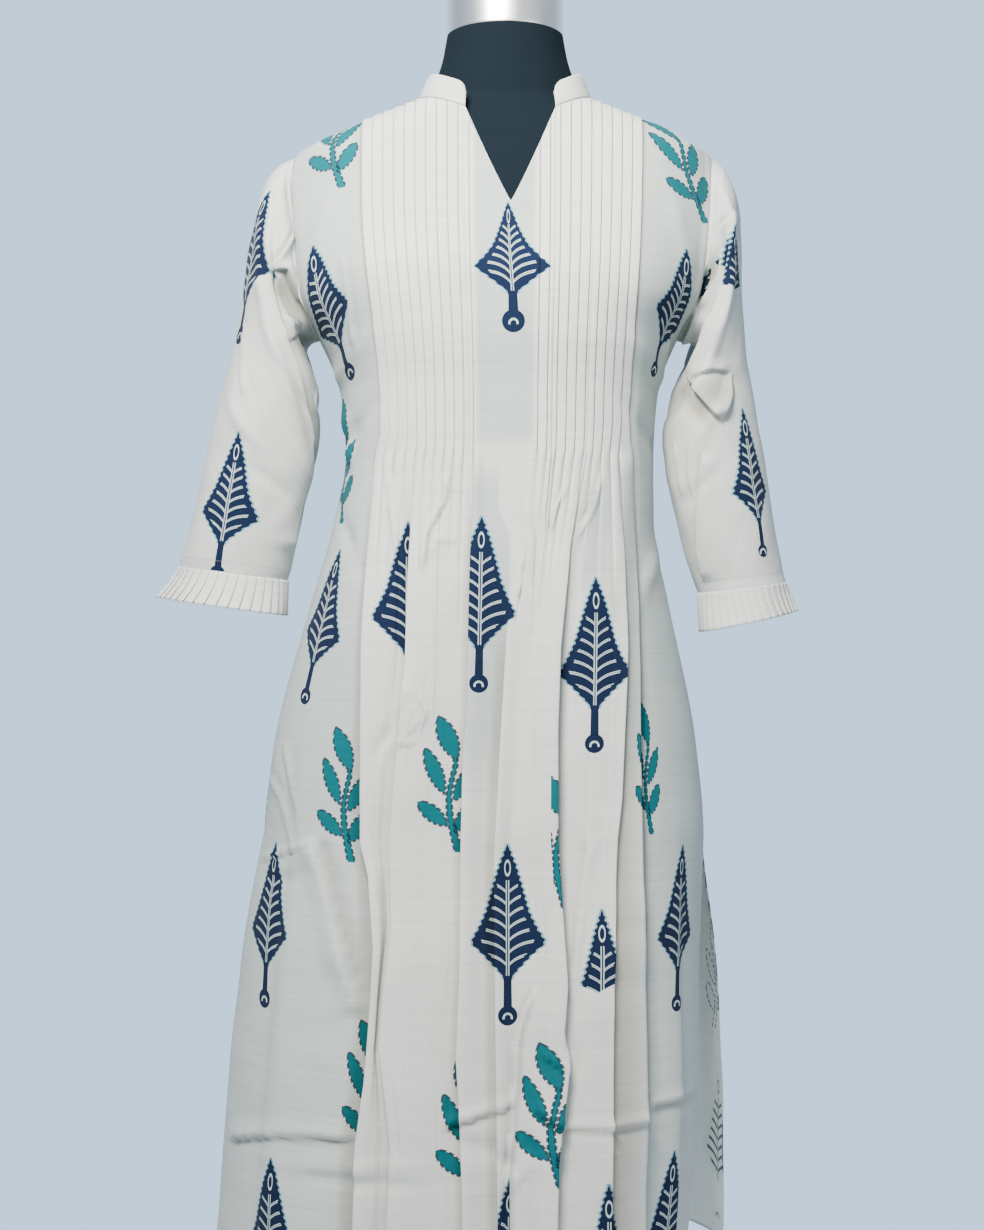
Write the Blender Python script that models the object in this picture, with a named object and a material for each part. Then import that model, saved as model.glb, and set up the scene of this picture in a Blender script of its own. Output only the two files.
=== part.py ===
"""A kurta tunic that stands on a limbless dress form, in metres with +Z up.

The front of the tunic faces -Y and the origin lies under the middle of the stand's base.
Every cut piece of cloth is a thin closed wall, worked out from the section tables below.
"""

from collections import namedtuple
from math import acos, cos, exp, pi, radians, sin, sqrt

import bmesh
import bpy
from mathutils import Vector

# Cloth
WALL = 0.0016
SEAM_GAP = 0.0003
HEM_Z = 0.335
UNDERARM_Z = 1.200
SHOULDER_TIP_Z = 1.374
NECK_POINT_X = 0.0826
NECK_POINT_Z = 1.424
SECTION_POWER = 2.4

# The V of the neck
V_MIDDLE_X = 0.0045
V_BOTTOM_Z = 1.3114
V_TOP_Z = 1.406
V_HALF_WIDTH = 0.0415

# One horizontal section of the body to a row: how far the front and back panels reach to each
# side, their depths, half the gap between their side edges, and how round the section is.
Body = namedtuple("Body", "z left right back_left back_right front back part round")
BODY = [
    Body(0.335, 0.272, 0.169, 0.240, 0.210, 0.158, 0.155, 0.030, 1.50),
    Body(0.480, 0.262, 0.180, 0.237, 0.208, 0.150, 0.150, 0.024, 1.60),
    Body(0.620, 0.249, 0.184, 0.233, 0.203, 0.142, 0.144, 0.012, 1.80),
    Body(0.730, 0.229, 0.188, 0.229, 0.188, 0.135, 0.138, 0.000, 2.00),
    Body(0.820, 0.2185, 0.1805, 0.2185, 0.1805, 0.130, 0.134, 0.000, 2.00),
    Body(0.954, 0.183, 0.154, 0.183, 0.154, 0.124, 0.120, 0.000, 2.00),
    Body(1.030, 0.1615, 0.140, 0.1615, 0.140, 0.120, 0.104, 0.000, 2.00),
    Body(1.090, 0.1510, 0.1405, 0.1510, 0.1405, 0.119, 0.098, 0.000, 2.00),
    Body(1.144, 0.1550, 0.1440, 0.1550, 0.1440, 0.121, 0.101, 0.000, 2.00),
    Body(1.200, 0.176, 0.163, 0.176, 0.163, 0.127, 0.107, 0.000, 2.00),
    Body(1.240, 0.203, 0.194, 0.203, 0.194, 0.126, 0.111, 0.000, 2.00),
    Body(1.300, 0.212, 0.206, 0.212, 0.206, 0.106, 0.110, 0.000, 2.00),
    Body(1.350, 0.208, 0.202, 0.208, 0.202, 0.087, 0.098, 0.000, 2.00),
    Body(1.374, 0.198, 0.194, 0.198, 0.194, 0.078, 0.086, 0.000, 2.00),
    Body(1.396, 0.157, 0.157, 0.157, 0.157, 0.071, 0.078, 0.000, 2.00),
    Body(1.408, 0.126, 0.126, 0.126, 0.126, 0.0665, 0.074, 0.000, 2.00),
    Body(1.424, 0.0826, 0.0826, 0.0826, 0.0826, 0.063, 0.071, 0.000, 2.00),
    Body(1.434, 0.0600, 0.0600, 0.0600, 0.0600, 0.061, 0.069, 0.000, 2.00),
]

# Where the armholes cut the panels, up to the shoulder tips.
Armhole = namedtuple("Armhole", "z left right")
ARMHOLE = [
    Armhole(1.200, 0.176, 0.163),
    Armhole(1.240, 0.190, 0.180),
    Armhole(1.300, 0.1957, 0.188),
    Armhole(1.350, 0.1995, 0.192),
    Armhole(1.374, 0.198, 0.194),
    Armhole(1.434, 0.198, 0.194),
]

# The outermost tuck of each side, which the folds of the skirt follow down to the hem.
Tucked = namedtuple("Tucked", "z left right")
TUCKED = [
    Tucked(0.335, 0.1175, 0.118),
    Tucked(0.620, 0.1230, 0.1195),
    Tucked(0.900, 0.1200, 0.1180),
    Tucked(1.080, 0.1130, 0.1120),
    Tucked(1.144, 0.1140, 0.1130),
    Tucked(1.312, 0.1300, 0.1230),
    Tucked(1.434, 0.1330, 0.1280),
]
TUCKS = 11
TUCK_LANE = 0.70
INNER_TUCK = 0.175
TUCK_HEIGHT = 0.0014
TUCK_GROOVE = 0.010
TUCK_END_Z = 1.085
TUCK_FADE = 0.110
TUCK_RIPPLE = 0.0016
SIDE_LANES = (0.22, 0.42, 0.60, 0.75, 0.87, 0.955, 1.0)

# Released folds of the front: the lane of the edge, the way that the edge faces, the reach of
# the fold behind it as a share of the lanes, its height at the hem and where it begins.
Fold = namedtuple("Fold", "lane faces reach height start")
FRONT_FOLDS = [
    Fold(-0.700, -1, 0.20, 0.0110, 1.07),
    Fold(-0.490, -1, 0.26, 0.0130, 1.08),
    Fold(-0.175, -1, 0.13, 0.0100, 1.06),
    Fold(-0.040, -1, 0.13, 0.0075, 1.00),
    Fold(0.270, 1, 0.22, 0.0120, 1.07),
    Fold(0.500, 1, 0.19, 0.0105, 1.04),
    Fold(0.700, 1, 0.14, 0.0100, 1.07),
    Fold(0.860, 1, 0.10, 0.0060, 0.80),
    Fold(-0.880, -1, 0.12, 0.0050, 0.90),
]
BACK_FOLDS = [
    Fold(-0.620, -1, 0.24, 0.0100, 0.98),
    Fold(-0.300, -1, 0.22, 0.0090, 1.00),
    Fold(0.050, 1, 0.24, 0.0080, 0.95),
    Fold(0.360, 1, 0.22, 0.0090, 1.00),
    Fold(0.680, 1, 0.22, 0.0100, 0.98),
]
FOLD_EDGE = 0.036
FOLD_FULL_DROP = 0.300
BACK_SIDE_LANES = 7
NECK_SHARES = (0.35, 0.68, 0.87, 0.965, 1.0)

# Heights of the rows below the underarm, and the shares of the way from the top edge down to
# the underarm above it, closer where the cloth rolls over the shoulder.
SKIRT_STEPS = 14
YOKE_SHARES = (1.0, 0.90, 0.75, 0.58, 0.40, 0.24, 0.13, 0.07, 0.03, 0.008, 0.0)

# One ring of a sleeve to a row: its outer and inner points seen from the front, half its depth
# and the place of its middle from front to back.
Ring = namedtuple("Ring", "outer_x outer_z inner_x inner_z depth middle_y")
LEFT_SLEEVE = [
    Ring(-0.2140, 1.3660, -0.1850, 1.1970, 0.060, 0.003),
    Ring(-0.2290, 1.3430, -0.1900, 1.1895, 0.067, 0.003),
    Ring(-0.2370, 1.3000, -0.1900, 1.1760, 0.068, 0.001),
    Ring(-0.2450, 1.2380, -0.1850, 1.1570, 0.065, -0.002),
    Ring(-0.2565, 1.1820, -0.1770, 1.1300, 0.062, -0.005),
    Ring(-0.2720, 1.1340, -0.1755, 1.1020, 0.059, -0.008),
    Ring(-0.2820, 1.0960, -0.1820, 1.0720, 0.056, -0.010),
    Ring(-0.2900, 1.0550, -0.1910, 1.0370, 0.053, -0.012),
    Ring(-0.2970, 1.0220, -0.1980, 1.0060, 0.050, -0.013),
    Ring(-0.3060, 0.9860, -0.2050, 0.9730, 0.046, -0.014),
]
RIGHT_SLEEVE = [
    Ring(0.2070, 1.3620, 0.1770, 1.1980, 0.061, 0.004),
    Ring(0.2180, 1.3340, 0.1840, 1.1900, 0.068, 0.003),
    Ring(0.2225, 1.2950, 0.1780, 1.1750, 0.068, 0.001),
    Ring(0.2240, 1.2350, 0.1680, 1.1560, 0.066, -0.002),
    Ring(0.2290, 1.1830, 0.1590, 1.1340, 0.064, -0.005),
    Ring(0.2360, 1.1400, 0.1510, 1.1080, 0.061, -0.008),
    Ring(0.2420, 1.0980, 0.1530, 1.0760, 0.058, -0.010),
    Ring(0.2490, 1.0490, 0.1600, 1.0400, 0.056, -0.012),
    Ring(0.2560, 1.0050, 0.1690, 0.9990, 0.054, -0.013),
    Ring(0.2640, 0.9710, 0.1820, 0.9610, 0.052, -0.014),
]

# Creases of a sleeve: ring number, turn in degrees from the outer side towards the front,
# half width and half length, slant of the crease from the sleeve's length, and its height.
Crease = namedtuple("Crease", "ring turn width length slant height")
LEFT_CREASES = [
    Crease(3.2, 118, 0.012, 0.060, 40, -0.0070),
    Crease(4.2, 92, 0.011, 0.055, 38, 0.0045),
    Crease(5.6, 140, 0.012, 0.050, 30, -0.0050),
    Crease(3.4, 232, 0.013, 0.060, -40, -0.0065),
    Crease(5.4, 262, 0.014, 0.060, -34, 0.0040),
]
RIGHT_CREASES = [
    Crease(2.6, 112, 0.012, 0.060, 46, -0.0075),
    Crease(3.9, 84, 0.011, 0.050, 36, 0.0050),
    Crease(5.2, 64, 0.013, 0.050, -38, -0.0045),
    Crease(3.2, 236, 0.013, 0.060, -42, -0.0065),
    Crease(5.6, 258, 0.014, 0.060, -30, 0.0040),
]
CREASE_PITCH = 0.038
EVEN_RING = 5
SLEEVE_RADIUS = 0.058

# Cuff frills
FRILL_PLEATS = 36
FRILL_WALL = 0.0015
FRILL_PLEAT_HEIGHT = 0.0022
FRILL_CREST = 0.74
LEFT_FRILL = Ring(-0.3250, 0.9570, -0.2070, 0.9400, 0.055, -0.014)
RIGHT_FRILL = Ring(0.2720, 0.9440, 0.1850, 0.9250, 0.060, -0.014)
FRILL_ROWS = ((0.0, 0.0, 0.4), (0.5, 0.40, 0.8), (1.0, 1.0, 1.0))

# Collar band
COLLAR_HEIGHT = 0.0225
COLLAR_WALL = 0.0020
COLLAR_LEAN = 0.0085
COLLAR_FRONT_LEAN = 0.0030
COLLAR_CORNER = 0.009
COLLAR_ROWS = 3

# Dress form: half widths and depths of its sections, kept inside the cloth.
Form = namedtuple("Form", "z left right front back")
FORM = [
    Form(0.740, 0.138, 0.138, 0.090, 0.098),
    Form(0.770, 0.150, 0.149, 0.096, 0.108),
    Form(0.800, 0.158, 0.155, 0.100, 0.114),
    Form(0.870, 0.164, 0.156, 0.104, 0.118),
    Form(0.954, 0.150, 0.144, 0.102, 0.104),
    Form(1.030, 0.132, 0.130, 0.096, 0.088),
    Form(1.090, 0.126, 0.126, 0.094, 0.082),
    Form(1.144, 0.136, 0.133, 0.104, 0.088),
    Form(1.200, 0.153, 0.148, 0.117, 0.097),
    Form(1.240, 0.172, 0.166, 0.117, 0.102),
    Form(1.300, 0.185, 0.178, 0.098, 0.101),
    Form(1.345, 0.187, 0.182, 0.082, 0.092),
    Form(1.365, 0.187, 0.182, 0.075, 0.084),
    Form(1.378, 0.187, 0.182, 0.070, 0.078),
    Form(1.386, 0.187, 0.182, 0.068, 0.075),
    Form(1.394, 0.187, 0.182, 0.062, 0.073),
    Form(1.405, 0.187, 0.182, 0.0565, 0.069),
    Form(1.4135, 0.187, 0.182, 0.0520, 0.067),
    Form(1.4214, 0.187, 0.182, 0.0480, 0.064),
]
NECK = [
    Form(1.4250, 0.0760, 0.0760, 0.0470, 0.062),
    Form(1.4340, 0.0700, 0.0700, 0.0470, 0.060),
    Form(1.4450, 0.0660, 0.0660, 0.0470, 0.059),
    Form(1.4650, 0.0595, 0.0595, 0.0475, 0.060),
    Form(1.4887, 0.0550, 0.0550, 0.0490, 0.061),
]
SHOULDER_REST = 0.0026
FORM_COLUMNS = 28
NECK_MIDDLE_Y = 0.006

# Neck cap and stand
CAP_RADIUS = 0.0555
CAP_BOTTOM_Z = 1.4890
CAP_SIDE = 0.040
CAP_DOME = 0.016
POLE_RADIUS = 0.0125
BASE_RADIUS = 0.175
BASE_EDGE = 0.008
BOSS_RADIUS = 0.030
BOSS_TOP_Z = 0.032
ROUND_SIDES = 40

# Colours, roughness and metallic value of each finish
CLOTH = ("slub_cotton", (0.80, 0.76, 0.68), 0.90, 0.0)
COVER = ("black_jersey", (0.012, 0.013, 0.016), 0.85, 0.0)
CHROME = ("brushed_chrome", (0.62, 0.61, 0.59), 0.28, 1.0)
STEEL = ("black_steel", (0.03, 0.03, 0.032), 0.45, 0.6)


def read(table, column, z):
    """A column of a table at height z, through its rows on a curve that never overshoots."""
    rows = [(row.z, getattr(row, column)) for row in table]
    if z <= rows[0][0]:
        return rows[0][1]
    if z >= rows[-1][0]:
        return rows[-1][1]
    place = max(i for i, row in enumerate(rows) if row[0] <= z)
    slopes = [(b[1] - a[1]) / (b[0] - a[0]) for a, b in zip(rows, rows[1:])]

    def tangent(i):
        if i == 0 or i == len(rows) - 1:
            return slopes[min(i, len(slopes) - 1)]
        before, after = slopes[i - 1], slopes[i]
        return 0.0 if before * after <= 0 else 2 * before * after / (before + after)

    (z0, low), (z1, high) = rows[place], rows[place + 1]
    span = z1 - z0
    t = (z - z0) / span
    bend = t * t * (3 - 2 * t)
    leave = t * (1 - t) ** 2 * span * tangent(place)
    arrive = t * t * (1 - t) * span * tangent(place + 1)
    return low + (high - low) * bend + leave - arrive


def ease(t):
    """A smooth step from 0 to 1."""
    t = min(max(t, 0.0), 1.0)
    return t * t * (3 - 2 * t)


def side_name(x):
    return "left" if x < 0 else "right"


def panel_depth(x, z, panel):
    """How far the panel lies in front of or behind the middle plane at x and z."""
    back = panel == "back"
    column = "back_" + side_name(x) if back else side_name(x)
    reach = read(BODY, column, z)
    share = min(abs(x) / reach, 1.0)
    curve = (1 - share**SECTION_POWER) ** (1 / read(BODY, "round", z))
    depth = read(BODY, panel, z) * curve + read(BODY, "part", z)
    depth = max(depth, SEAM_GAP / 2)
    return depth if back else -depth


def edge_x(lane, z, panel):
    """Where the panel ends on the side of this lane."""
    side = side_name(lane)
    if z > UNDERARM_Z:
        return read(ARMHOLE, side, z)
    return read(BODY, "back_" + side if panel == "back" else side, z)


def lane_x(lane, z, panel):
    """A lane runs up the cloth: -1 and 1 are the side edges, TUCK_LANE the outermost tuck."""
    sign = -1 if lane < 0 else 1
    edge = edge_x(lane, z, panel)
    if panel == "back":
        return lane * edge
    tuck = read(TUCKED, side_name(lane), z)
    share = abs(lane)
    if share <= TUCK_LANE:
        return sign * tuck * share / TUCK_LANE
    return sign * (tuck + (edge - tuck) * (share - TUCK_LANE) / (1 - TUCK_LANE))


def ridge_z(x):
    """The height of the shoulder over x, where the section is just this wide."""
    low, high = SHOULDER_TIP_Z, NECK_POINT_Z
    if abs(x) >= read(BODY, side_name(x), low):
        return low
    for _ in range(40):
        middle = (low + high) / 2
        if read(BODY, side_name(x), middle) > abs(x):
            low = middle
        else:
            high = middle
    return (low + high) / 2


def neck_z(x, panel):
    """The height of the neck edge over x."""
    if panel == "back":
        return NECK_POINT_Z
    from_middle = abs(x - V_MIDDLE_X)
    if from_middle < V_HALF_WIDTH:
        share = from_middle / V_HALF_WIDTH
        return V_BOTTOM_Z + (V_TOP_Z - V_BOTTOM_Z) * share**1.08
    v_top_x = V_HALF_WIDTH + (V_MIDDLE_X if x > 0 else -V_MIDDLE_X)
    share = (abs(x) - v_top_x) / (NECK_POINT_X - v_top_x)
    return V_TOP_Z + (NECK_POINT_Z - V_TOP_Z) * share


def top_z(lane, panel):
    """Where this lane meets the neck edge or the shoulder seam."""
    z = NECK_POINT_Z
    for _ in range(30):
        x = lane_x(lane, z, panel)
        goal = neck_z(x, panel) if abs(x) < NECK_POINT_X else ridge_z(x)
        z += (goal - z) * 0.6
    return z


def fold_height(folds, lane, z):
    """How far the released folds stand out here."""
    height = 0.0
    for fold in folds:
        inside = (fold.lane - lane) * fold.faces
        if inside > fold.reach or inside < -FOLD_EDGE:
            continue
        grown = ease((fold.start - z) / FOLD_FULL_DROP)
        rise = ease(1 + inside / FOLD_EDGE) if inside < 0 else ease(1 - inside / fold.reach)
        height += fold.height * grown * rise
    return height


def tuck_height(lane, z, crest):
    """The sewn tucks, and below them the ripples that they leave in the cloth."""
    if not crest:
        return 0.0
    sewn = ease((z - TUCK_END_Z) / 0.02 + 1)
    left_over = ease((z - TUCK_END_Z + TUCK_FADE) / TUCK_FADE) * (1 - sewn)
    return TUCK_HEIGHT * sewn + TUCK_RIPPLE * left_over


def front_columns():
    """The lanes of the front, each with whether it is the raised edge of a tuck."""
    pitch = (TUCK_LANE - INNER_TUCK) / (TUCKS - 1)
    half = []
    for i in range(TUCKS):
        edge = INNER_TUCK + i * pitch
        half += [(edge, True), (edge + TUCK_GROOVE, False)]
    half += [(TUCK_LANE + (1 - TUCK_LANE) * share, False) for share in SIDE_LANES]
    columns = [(-lane, crest) for lane, crest in half] + half
    for x in (V_MIDDLE_X, V_MIDDLE_X - V_HALF_WIDTH, V_MIDDLE_X + V_HALF_WIDTH):
        columns.append((x / read(TUCKED, side_name(x), V_TOP_Z) * TUCK_LANE, False))
    for share in NECK_SHARES[-3:]:
        for x in (-NECK_POINT_X * share, NECK_POINT_X * share):
            columns.append((x / read(TUCKED, side_name(x), NECK_POINT_Z) * TUCK_LANE, False))
    return sorted(columns)


def back_columns():
    """The lanes of the back, closer towards the side edges and round the neck points."""
    lanes = [0.0]
    for sign in (-1, 1):
        neck = NECK_POINT_X / read(ARMHOLE, side_name(sign), NECK_POINT_Z)
        lanes += [sign * neck * share for share in NECK_SHARES]
        for i in range(1, BACK_SIDE_LANES + 1):
            lanes.append(sign * (neck + (1 - neck) * sin(pi / 2 * i / BACK_SIDE_LANES)))
    return [(lane, False) for lane in sorted(lanes)]


def row_heights(lane, panel):
    """The heights of this lane's points, from the hem to its top edge."""
    step = (UNDERARM_Z - HEM_Z) / SKIRT_STEPS
    top = top_z(lane, panel)
    below = [HEM_Z + step * i for i in range(SKIRT_STEPS)]
    return below + [top - (top - UNDERARM_Z) * share for share in YOKE_SHARES]


def grid_normal(grid, i, j, wrap=False):
    """The normal of a grid of points at row i and column j, by its neighbours."""
    last = len(grid[i]) - 1
    if wrap:
        left, right = grid[i][j - 1], grid[i][(j + 1) % (last + 1)]
    else:
        left, right = grid[i][max(j - 1, 0)], grid[i][min(j + 1, last)]
    down, up = grid[max(i - 1, 0)][j], grid[min(i + 1, len(grid) - 1)][j]
    return (right - left).cross(up - down).normalized()


def panel_walls(panel):
    """The outer and inner points of a panel, and its normals, in rows from hem to top edge."""
    columns = front_columns() if panel == "front" else back_columns()
    folds = FRONT_FOLDS if panel == "front" else BACK_FOLDS
    heights = [row_heights(lane, panel) for lane, _ in columns]
    base = []
    for i in range(len(heights[0])):
        row = []
        for (lane, _), column in zip(columns, heights):
            x = lane_x(lane, column[i], panel)
            row.append(Vector((x, panel_depth(x, column[i], panel), column[i])))
        base.append(row)
    outer, inner, normals = [], [], []
    for i, row in enumerate(base):
        outer.append([])
        inner.append([])
        normals.append([])
        for j, point in enumerate(row):
            lane, crest = columns[j]
            normal = grid_normal(base, i, j)
            if normal.y * point.y < 0:
                normal.negate()
            on_shoulder = i == len(base) - 1 and abs(point.x) > NECK_POINT_X - 0.002
            on_side_seam = abs(lane) == 1 and abs(point.y) <= SEAM_GAP
            if on_shoulder or on_side_seam:
                normal.y = 0
                normal.normalize()
            fold = normal * fold_height(folds, lane, point.z)
            at_top = i == len(base) - 1
            raised = normal * (0.0 if at_top else tuck_height(lane, point.z, crest))
            outer[-1].append(point + fold + raised)
            inner[-1].append(point + fold - normal * WALL)
            normals[-1].append(normal)
    return outer, inner, normals


def armhole_loop(side, front, back):
    """The armhole edge from the shoulder tip down the front and up the back, moved by the gap."""
    column = 0 if side < 0 else -1
    first = len(front[0]) - len(YOKE_SHARES)

    def edge(walls):
        return [(walls[0][i][column], walls[2][i][column]) for i in range(first, len(walls[0]))]

    down, up = edge(front)[::-1], edge(back)
    loop = down[:-1] + up[:-1]
    points = []
    for j, (point, normal) in enumerate(loop):
        along = loop[(j + 1) % len(loop)][0] - loop[j - 1][0]
        away = normal.cross(along).normalized()
        middle = Vector((0, 0, (UNDERARM_Z + SHOULDER_TIP_Z) / 2))
        towards = middle - Vector((0, point.y, point.z)) + Vector((side * 0.05, 0, 0))
        if away.dot(towards) < 0:
            away.negate()
        moved = point + away * SEAM_GAP
        if j in (0, len(YOKE_SHARES) - 1):
            moved.y = 0
        points.append(moved)
    return points


def ring_points(ring, turns):
    """The points of an oval ring at these turns, 0 on its outer side and a quarter in front."""
    outer = Vector((ring.outer_x, ring.middle_y, ring.outer_z))
    inner = Vector((ring.inner_x, ring.middle_y, ring.inner_z))
    middle, half = (outer + inner) / 2, (outer - inner) / 2
    depth = Vector((0, -ring.depth, 0))
    return [middle + half * cos(turn) + depth * sin(turn) for turn in turns]


def crease_height(creases, ring, turn):
    """The sum of the sleeve's creases at a ring number and a turn."""
    height = 0.0
    for crease in creases:
        along = (ring - crease.ring) * CREASE_PITCH
        round_by = (turn - radians(crease.turn)) * SLEEVE_RADIUS
        slant = radians(crease.slant)
        length = along * cos(slant) + round_by * sin(slant)
        width = round_by * cos(slant) - along * sin(slant)
        height += crease.height * exp(-((width / crease.width) ** 2) - (length / crease.length) ** 2)
    return height


def sleeve_turns(ring):
    """The turns of a ring's points: those of the armhole's rows, evened out down the sleeve."""
    count = len(YOKE_SHARES) - 1
    down = [acos(1 - 2 * share) for share in YOKE_SHARES[::-1]]
    loop = down + [2 * pi - turn for turn in down[-2:0:-1]]
    even = ease((ring - 1) / EVEN_RING)
    return [turn + (pi * j / count - turn) * even for j, turn in enumerate(loop)]


def sleeve_walls(side, rings, creases, front, back):
    """The outer and inner rings of a sleeve, from the armhole to the seam of its frill."""
    around = 2 * (len(YOKE_SHARES) - 1)
    turns = [sleeve_turns(i) for i in range(len(rings) + 1)]
    base = [armhole_loop(side, front, back)]
    base += [ring_points(ring, turns[i + 1]) for i, ring in enumerate(rings)]
    outer, inner = [], []
    for i, ring in enumerate(base):
        middle = sum(ring, Vector()) / around
        outer.append([])
        inner.append([])
        for j, point in enumerate(ring):
            normal = grid_normal(base, i, j, wrap=True)
            if normal.dot(point - middle) < 0:
                normal.negate()
            end = i in (0, len(base) - 1)
            move = Vector() if end else normal * crease_height(creases, i, turns[i][j])
            outer[-1].append(point + move)
            inner[-1].append(point + move - (point - middle).normalized() * WALL if end and i
                             else point + move - normal * WALL)
    return outer, inner


def frill_walls(top, bottom):
    """The knife pleats of a cuff frill, which hangs from the sleeve's last ring."""
    axis = Vector((bottom.outer_x + bottom.inner_x - top.outer_x - top.inner_x, 0,
                   bottom.outer_z + bottom.inner_z - top.outer_z - top.inner_z)).normalized()
    outer, inner = [], []
    turns = []
    for k in range(FRILL_PLEATS):
        for share in (0.0, FRILL_CREST):
            turns.append((2 * pi * (k + share) / FRILL_PLEATS, share > 0))
    for down, flare, height in FRILL_ROWS:
        mixed = [
            a + (b - a) * (down if name.endswith("z") else flare)
            for name, a, b in zip(Ring._fields, top, bottom)
        ]
        ring = Ring(*mixed)
        points = ring_points(ring, [turn for turn, _ in turns])
        middle = sum(points, Vector()) / len(points)
        outer.append([])
        inner.append([])
        for point, (_, crest) in zip(points, turns):
            out = (point - middle).normalized()
            seat = point + axis * SEAM_GAP * 1.5
            outer[-1].append(seat + out * (FRILL_PLEAT_HEIGHT * height if crest else 0))
            inner[-1].append(outer[-1][-1] - out * FRILL_WALL)
    return outer, inner


def neck_route(front, back):
    """The neck edge of the panels, from the left front end round the back to the right one."""
    edge = front[0][-1]
    close = 0.0004
    v_left, v_right = V_MIDDLE_X - V_HALF_WIDTH, V_MIDDLE_X + V_HALF_WIDTH
    left = [point for point in edge if close - NECK_POINT_X < point.x < v_left + close]
    right = [point for point in edge if v_right - close < point.x < NECK_POINT_X - close]
    behind = [point for point in back[0][-1] if abs(point.x) < NECK_POINT_X + close]
    return left[::-1] + behind + right[::-1]


def collar_walls(front, back):
    """The standing band, which leans in to the neck and has rounded front corners."""
    route = neck_route(front, back)
    lengths = [0.0]
    for a, b in zip(route, route[1:]):
        lengths.append(lengths[-1] + (b - a).length)
    outer, inner = [], []
    for row in range(COLLAR_ROWS):
        share = row / (COLLAR_ROWS - 1)
        outer.append([])
        inner.append([])
        for j, point in enumerate(route):
            a, b = route[max(j - 1, 0)], route[min(j + 1, len(route) - 1)]
            out = Vector((-(b - a).y, (b - a).x, 0)).normalized()
            if out.dot(Vector((point.x, point.y, 0))) < 0:
                out.negate()
            from_end = min(lengths[j], lengths[-1] - lengths[j], COLLAR_CORNER)
            drop = COLLAR_CORNER - sqrt(COLLAR_CORNER**2 - (COLLAR_CORNER - from_end) ** 2)
            rise = SEAM_GAP + share * (COLLAR_HEIGHT - drop)
            lean = COLLAR_FRONT_LEAN + (COLLAR_LEAN - COLLAR_FRONT_LEAN) * abs(out.x)
            seat = point + Vector((0, 0, rise)) - out * lean * share
            outer[-1].append(seat)
            inner[-1].append(seat - out * COLLAR_WALL)
    return outer, inner


def form_ring(z, row):
    """One section of the dress form, just under the cloth where the shoulders carry it."""
    points = []
    on_neck = z >= NECK[0].z
    for j in range(FORM_COLUMNS):
        turn = 2 * pi * j / FORM_COLUMNS
        side = "left" if cos(turn) < 0 else "right"
        reach = getattr(row, side)
        if not on_neck and z > SHOULDER_TIP_Z - 0.01:
            reach = min(reach, read(BODY, side, z + SHOULDER_REST))
        depth = row.front if sin(turn) > 0 else row.back
        x = reach * (abs(cos(turn)) ** 0.92) * (-1 if side == "left" else 1)
        power = 2.0 if on_neck else SECTION_POWER
        y = depth * sqrt(max(0.0, 1 - abs(x / reach) ** power))
        points.append(Vector((x, -y if sin(turn) > 0 else y, z)))
    return points


def new_object(name, bm, finish):
    """A named object from a closed bmesh, with its own material and smooth round faces."""
    bmesh.ops.recalc_face_normals(bm, faces=bm.faces)
    mesh = bpy.data.meshes.new(name)
    bm.to_mesh(mesh)
    bm.free()
    mesh.shade_smooth()
    mesh.set_sharp_from_angle(angle=radians(50))
    label, colour, roughness, metallic = finish
    material = bpy.data.materials.new(label + "_" + name)
    material.use_nodes = True
    shader = material.node_tree.nodes["Principled BSDF"]
    shader.inputs["Base Color"].default_value = (*colour, 1.0)
    shader.inputs["Roughness"].default_value = roughness
    shader.inputs["Metallic"].default_value = metallic
    mesh.materials.append(material)
    made = bpy.data.objects.new(name, mesh)
    bpy.context.collection.objects.link(made)
    return made


def join_rings(bm, rings, closed):
    """Faces between rings of vertices, and from the last ring to the first where closed."""
    pairs = list(zip(rings, rings[1:]))
    if closed:
        pairs.append((rings[-1], rings[0]))
    for below, above in pairs:
        for j in range(len(below)):
            k = (j + 1) % len(below)
            bm.faces.new((below[j], below[k], above[k], above[j]))


def cloth_panel(name, outer, inner, finish):
    """An open sheet as a wall: each row is one loop round the outer and the inner points."""
    bm = bmesh.new()
    rings = []
    for front_row, back_row in zip(outer, inner):
        rings.append([bm.verts.new(point) for point in front_row + back_row[::-1]])
    join_rings(bm, rings, closed=False)
    for ring in (rings[0], rings[-1]):
        for j in range(len(ring) // 2 - 1):
            bm.faces.new((ring[j], ring[j + 1], ring[-2 - j], ring[-1 - j]))
    return new_object(name, bm, finish)


def cloth_tube(name, outer, inner, finish):
    """A tube as a wall: the outer rings go down and the inner rings come back up."""
    bm = bmesh.new()
    rings = [[bm.verts.new(point) for point in ring] for ring in outer + inner[::-1]]
    join_rings(bm, rings, closed=True)
    return new_object(name, bm, finish)


def dress_form():
    """The padded torso with its flat arm plates and neck."""
    bm = bmesh.new()
    rings = []
    for row in FORM + NECK:
        rings.append([bm.verts.new(point) for point in form_ring(row.z, row)])
    join_rings(bm, rings, closed=False)
    bm.faces.new(rings[0])
    bm.faces.new(rings[-1])
    return new_object("form_torso", bm, COVER)


def turned(name, profile, middle_y, finish):
    """A round piece spun from its profile of radius and height, which ends on the axis."""
    bm = bmesh.new()
    points = [bm.verts.new((radius, middle_y, z)) for radius, z in profile]
    edges = [bm.edges.new(pair) for pair in zip(points, points[1:])]
    bmesh.ops.spin(
        bm, geom=points + edges, cent=(0, middle_y, 0), axis=(0, 0, 1), angle=2 * pi,
        steps=ROUND_SIDES, use_merge=True,
    )
    bmesh.ops.remove_doubles(bm, verts=bm.verts, dist=0.00001)
    return new_object(name, bm, finish)


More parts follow.
